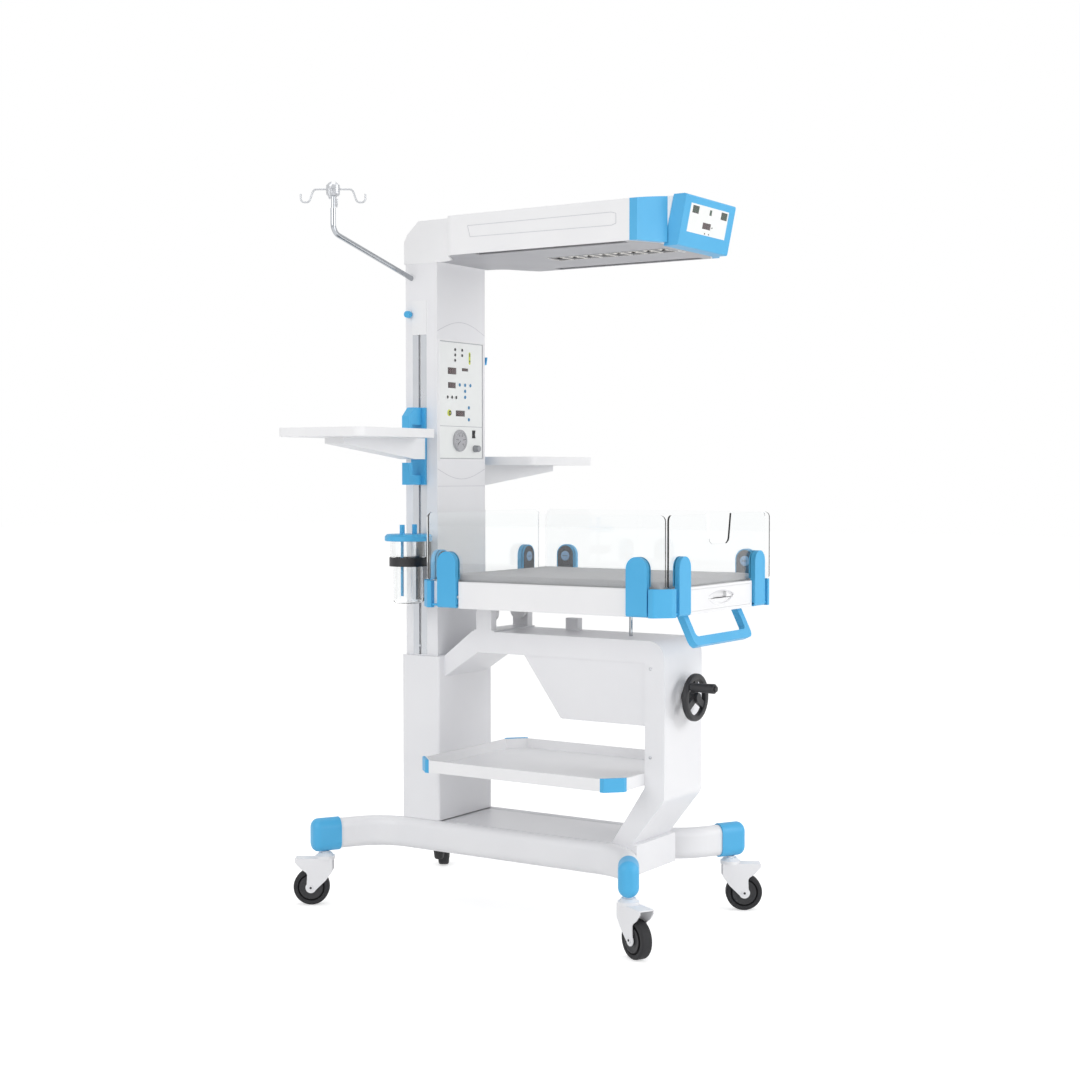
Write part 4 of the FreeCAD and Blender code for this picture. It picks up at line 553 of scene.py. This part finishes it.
# Where each clear panel is clamped, as (x, y) on its inner plate, and the way that the plate faces.
CLAMPS = {
    "side_left": [((-286, y), RIGHT) for y in (-526, 50)],
    "side_right": [((286, y), LEFT) for y in (-526, 50)],
    "end_front": [((x, -589), BACK) for x in (-211, 211)],
    "bed": [((x, 129), FORWARD) for x in (-211, 211)],
}


def panel_clamps():
    """A dark pad with a round top on each clamp plate, and a pale screw head with a dark slot."""
    half, low, high, thick = 26, 929, 996, 1.2
    screw_z, slot = 966, 0.8
    for body, spots in CLAMPS.items():
        pads, heads = bmesh.new(), bmesh.new()
        for (x, y), way in spots:
            way = Vector(way)
            side = Vector((0, 0, 1)).cross(way)
            turn = Matrix(((side.x, 0, way.x, x), (side.y, 0, way.y, y), (0, 1, 0, 0), (0, 0, 0, 1)))
            plate(pads, arch(half, low, high), thick, turn)
            button(heads, Vector((x, y, screw_z)) + way * (thick - 0.1), way, radius=14, height=2.6)
            block(pads, (-8, screw_z - slot, 3.6), (8, screw_z + slot, 4.0), round_off=0.2, turn=turn)
        piece(pads, "clamp_pads_" + body, slate_pad, body)
        piece(heads, "clamp_screws_" + body, screw_blue, body)


# Column and head

COLUMN_Y = 219.05
HEAD_SIDE_X = 224.9
GRILLE_LOW, GRILLE_HIGH = 1786.6, 1788.1
TUBE_Z = 1815


def column_line_shade():
    """Pressed lines of the column's front, drawn as grey strips of painted shade: bowed ones above and
    below the controller, and a level one.
    """
    half, level = 114, 1170
    on_column = at_front(COLUMN_Y)
    shapes = bmesh.new()
    ribbon(shapes, wave_line(half, 1600, 30), wide=1.6, thick=0.3, turn=on_column)
    ribbon(shapes, wave_line(half, 1218, -28), wide=1.6, thick=0.3, turn=on_column)
    ribbon(shapes, [(-half, level), (half, level)], wide=1.4, thick=0.3, turn=on_column)
    piece(shapes, "column_pressed_line_shade", groove_shade, "base")


def head_side_outline_shade():
    """A long shallow panel outlined on each side of the head by a grey strip of painted shade."""
    outline = ((38, 1862), (30, 1832), (-405, 1829), (-418, 1833), (-418, 1858), (-405, 1862), (38, 1862))
    shapes = bmesh.new()
    for side in (-1, 1):
        turn = Matrix(((0, 0, side, side * HEAD_SIDE_X), (side, 0, 0, 0), (0, 1, 0, 0), (0, 0, 0, 1)))
        ribbon(shapes, [(y * side, z) for y, z in outline], wide=1.5, thick=0.6, turn=turn)
    piece(shapes, "head_side_outline_shade", groove_shade, "base")


def grille_frames():
    """A bright pressed frame round each opening of the grille."""
    wide, deep, rim = 33, 21, 2.5
    first, pitch, count = -431, 46, 8
    shapes = bmesh.new()
    for i in range(count):
        near, far = first + pitch * i - deep, first + pitch * i + deep
        for x0, x1, y0, y1 in ((-wide, wide, near, near + rim), (-wide, wide, far - rim, far),
                               (-wide, rim - wide, near + rim, far - rim),
                               (wide - rim, wide, near + rim, far - rim)):
            block(shapes, (x0, y0, GRILLE_LOW), (x1, y1, GRILLE_HIGH), round_off=0.5, steps=1)
    piece(shapes, "grille_frames", reflector, "base")


def status_lenses():
    """Two small round lenses in the head's underside, in front of the grille."""
    shapes = bmesh.new()
    for x in (24, 46):
        button(shapes, (x, -466, GRILLE_HIGH), DOWN, radius=6.0, height=1.8)
    piece(shapes, "status_lenses", film, "base")


def heater_tube():
    """The tube in front of the reflector, with a ceramic cap at each end."""
    radius, length = 7.6, 360
    shapes = bmesh.new()
    outline = [(0, 0), (radius, 0), (radius, length), (0, length)]
    turned(shapes, outline, (0, -447, TUBE_Z), BACK, steps=24)
    piece(shapes, "heater_tube", quartz, "base")

    shapes = bmesh.new()
    outline = [(0, 0), (11, 0), (11, 12), (9, 15), (0, 15)]
    for y, way in ((-461, BACK), (-73, FORWARD)):
        turned(shapes, outline, (0, y, TUBE_Z), way, steps=24)
    piece(shapes, "heater_tube_caps", film, "base")


def rail_slot_backs():
    """A pale strip of the mast that shows at the back of each rail's slot."""
    inner, outer = 108.1, 108.7
    shapes = bmesh.new()
    for side in (-1, 1):
        low, high = sorted((side * inner, side * outer))
        block(shapes, (low, 270.5, 701), (high, 287.5, 1590), round_off=0.2, steps=1)
    piece(shapes, "rail_slot_backs", white_abs, "base")


# Small fittings of the carrier, the bed tray, the drawer and the base

DRAWER_Y = -602.95
DECK_UNDERSIDE_Z = 225.8
CARRIER_SIDE_X, RAIL_SIDE_X, TRAY_SIDE_X = 102.9, 117, 299.9


def side_screws():
    """Screws of the carrier and the rails, and one in each side of the bed tray."""
    shapes = bmesh.new()
    for side, way in ((-1, LEFT), (1, RIGHT)):
        for z in (700, 470):
            button(shapes, (side * CARRIER_SIDE_X, -452, z), way, radius=4.2, height=2.2)
        for z in (724, 850):
            button(shapes, (side * RAIL_SIDE_X, 279, z), way, radius=3.2, height=1.6)
    piece(shapes, "carrier_screws", zinc, "base")

    shapes = bmesh.new()
    for side, way in ((-1, LEFT), (1, RIGHT)):
        button(shapes, (side * TRAY_SIDE_X, 20, 880), way, radius=4.0, height=1.8)
    piece(shapes, "tray_screws", zinc, "bed")


def drawer_pull():
    """A soft lip under the drawer's hollow, and a grey line of painted shade over it."""
    half, lip_radius, line_radius = 70, 133, 211
    on_drawer = at_front(DRAWER_Y)
    shapes = bmesh.new()
    for level, wide, thick in ((887.5, 3.4, 1.6), (885.1, 2.6, 1.0)):
        ribbon(shapes, bow_line(half, level, lip_radius, -1), wide, thick, on_drawer)
    piece(shapes, "drawer_pull_lip", white_abs, "drawer")

    # The grey line is painted shade along the upper rim of the hollow.
    shapes = bmesh.new()
    ribbon(shapes, bow_line(half, 892.5, line_radius, 1), wide=1.3, thick=0.3, turn=on_drawer)
    piece(shapes, "drawer_pull_shade_line", groove_shade, "drawer")


def mains_boot():
    """Rubber boot of the mains entry, which hangs from the deck's underside."""
    outline = [(0, 0), (26, 0), (26, 4), (18, 6), (17.5, 70), (15, 92), (13, 107), (10, 111), (0, 111)]
    shapes = bmesh.new()
    turned(shapes, outline, (-60, 257, DECK_UNDERSIDE_Z), DOWN, steps=32)
    piece(shapes, "mains_entry_boot", foot_rubber, "base")


# The way that each castor's wheel points at rest, in degrees.
STEER = {"fl": -117, "fr": -57.2, "rl": 122.8, "rr": 32.9}


def wheel_centres():
    """A stepped cover on each side of a wheel, and the axle's round ends outside the fork."""
    outline = [(7, 0), (33, 0), (33, 0.7), (29, 1.4), (27, 0.5), (14, 0.5), (12, 1.6), (7, 1.6), (7, 0)]
    cover_out, axle_out = 16, 24.4
    for corner, degrees in STEER.items():
        low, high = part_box("caster_wheel_" + corner)
        middle = (low + high) / 2 / MM
        steer = math.radians(degrees)
        across = Vector((-math.sin(steer), math.cos(steer), 0))
        covers, ends = bmesh.new(), bmesh.new()
        for way in (-across, across):
            turned(covers, outline, middle + way * cover_out, way, steps=40)
            button(ends, middle + way * axle_out, way, radius=3.2, height=1.4, steps=20)
        piece(covers, "wheel_covers_" + corner, black_nylon, "wheel_" + corner)
        piece(ends, "axle_ends_" + corner, black_nylon, "fork_" + corner)


def settle(thing):
    """Works an object's modifiers into its mesh and takes them off."""
    shape = thing.evaluated_get(bpy.context.evaluated_depsgraph_get())
    shape = bpy.data.meshes.new_from_object(shape)
    thing.modifiers.clear()
    thing.data = shape
    return shape


def mattress():
    """A block slightly smaller than the mattress's solid, swollen by its own filling.

    The block is drawn in millimetres; the grid, the reach of the swelling and the clearance are metres.
    """
    side, under, over = 3, 0.6, 12
    grid_size, reach, clearance, frames = 0.006, 0.009, 0.0005, 20
    low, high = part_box("mattress")
    shapes = bmesh.new()
    block(shapes, low / MM + Vector((side, side, under)), high / MM - Vector((side, side, over)),
          round_off=11, steps=4)
    pad = placed("mattress_pad", as_mesh(shapes, "mattress_pad"))
    bpy.context.view_layer.objects.active = pad
    grid = pad.modifiers.new("grid", "REMESH")
    grid.mode = "VOXEL"
    grid.voxel_size = grid_size
    bpy.context.view_layer.update()
    shape = settle(pad)
    rest = [v.co.copy() for v in shape.vertices]
    filling = pad.modifiers.new("filling", "CLOTH")
    filling.settings.use_pressure = True
    filling.settings.uniform_pressure_force = 4
    filling.settings.effector_weights.gravity = 0
    for step in range(1, frames + 1):
        bpy.context.scene.frame_set(step)
    shape = settle(pad)
    bpy.context.scene.frame_set(1)
    # The cover holds the filling back, and the pad stays inside its solid.
    floor = low + Vector((clearance, clearance, clearance))
    roof = high - Vector((clearance, clearance, 2 * clearance))
    for v, start in zip(shape.vertices, rest):
        move = v.co - start
        if move.length > reach:
            move *= reach / move.length
        v.co = [min(max(c, a), b) for c, a, b in zip(start + move, floor, roof)]
    finer = pad.modifiers.new("finer", "SUBSURF")
    finer.levels = finer.render_levels = 1
    shape.materials.clear()
    shape.materials.append(cover)
    shape.shade_smooth()
    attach(pad, "bed")
    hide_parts("mattress")


# Studio, in metres

# Name, place, aim, width, and power in watts.
LAMPS = (
    ("key", (1.4, -4.4, 2.6), (0, -0.1, 1.0), 2.4, 54),
    ("front", (-0.8, -4.9, 0.8), (0, 0.1, 1.1), 2.6, 40),
    ("fill", (-4.6, 0.4, 2.4), (0, 0, 1.0), 2.6, 52),
    ("top", (0.2, 0.2, 7.0), (0, -0.1, 1.0), 4.0, 86),
)
WHITE = linear("#FFFFFF")


def camera():
    """The camera that was fitted to the photograph."""
    yaw, down = math.radians(32.93), math.radians(2.1)
    look = Vector((math.cos(yaw) * math.cos(down), math.sin(yaw) * math.cos(down), -math.sin(down)))
    lens = bpy.data.cameras.new("camera")
    lens.lens = 58.73
    lens.sensor_width = 36
    lens.clip_end = 100
    made = placed("camera", lens)
    made.location = (-4.065, -2.678, 1.200)
    made.rotation_euler = look.to_track_quat("-Z", "Y").to_euler()
    bpy.context.scene.camera = made


def background_rays(tree, level, plain):
    """One level for what the camera, metal and glass see, and a plain one for all other light."""
    rays = add(tree, "ShaderNodeLightPath")
    some = add(tree, "ShaderNodeMath", {"operation": "MAXIMUM"}, s0=rays.outputs["Is Camera Ray"],
               s1=rays.outputs["Is Glossy Ray"])
    seen = add(tree, "ShaderNodeMath", {"operation": "MAXIMUM"}, s0=some.outputs[0],
               s1=rays.outputs["Is Transmission Ray"])
    either = add(tree, "ShaderNodeMapRange", Value=seen.outputs[0], To_Min=plain, To_Max=level)
    return either.outputs["Result"]


def studio_world():
    """An even white room, which gives less light than it shows."""
    world = bpy.data.worlds.new("studio")
    bpy.context.scene.world = world
    world.use_nodes = True
    tree = world.node_tree
    tree.nodes.clear()
    light = add(tree, "ShaderNodeBackground", Color=WHITE, Strength=background_rays(tree, 1.0, 0.62))
    add(tree, "ShaderNodeOutputWorld", Surface=light.outputs[0])


def studio_floor():
    """White studio paper, a little self-lit so that it runs into the room without an edge."""
    shapes = bmesh.new()
    bmesh.ops.create_grid(shapes, x_segments=2, y_segments=2, size=30)
    floor = bpy.data.meshes.new("floor")
    shapes.to_mesh(floor)
    shapes.free()
    ground = placed("floor", floor)
    ground.location.z = -0.0005
    paper = blank("white_studio_paper")
    tree = paper.node_tree
    matt = add(tree, "ShaderNodeBsdfDiffuse", Color=linear("#EDEDED"))
    glow = add(tree, "ShaderNodeEmission", Color=WHITE, Strength=background_rays(tree, 0.5, 0.0))
    both = add(tree, "ShaderNodeAddShader", s0=matt.outputs[0], s1=glow.outputs[0])
    add(tree, "ShaderNodeOutputMaterial", Surface=both.outputs[0])
    floor.materials.append(paper)


def studio_lamps():
    """Round soft lamps, each turned to its aim."""
    for name, spot, aim, size, power in LAMPS:
        lamp = bpy.data.lights.new(name, "AREA")
        lamp.shape = "DISK"
        lamp.size = size
        lamp.energy = power
        holder = placed(name, lamp)
        holder.location = spot
        holder.rotation_euler = (Vector(aim) - Vector(spot)).to_track_quat("-Z", "Y").to_euler()


panel_keys()
panel_lamps()
panel_displays()
panel_lines()
gauge_marks()
gauge_figures()
screen_display()
panel_clamps()
column_line_shade()
head_side_outline_shade()
grille_frames()
status_lenses()
heater_tube()
rail_slot_backs()
side_screws()
drawer_pull()
mains_boot()
wheel_centres()
mattress()

camera()
studio_world()
studio_floor()
studio_lamps()
bpy.context.scene.view_settings.view_transform = "Standard"
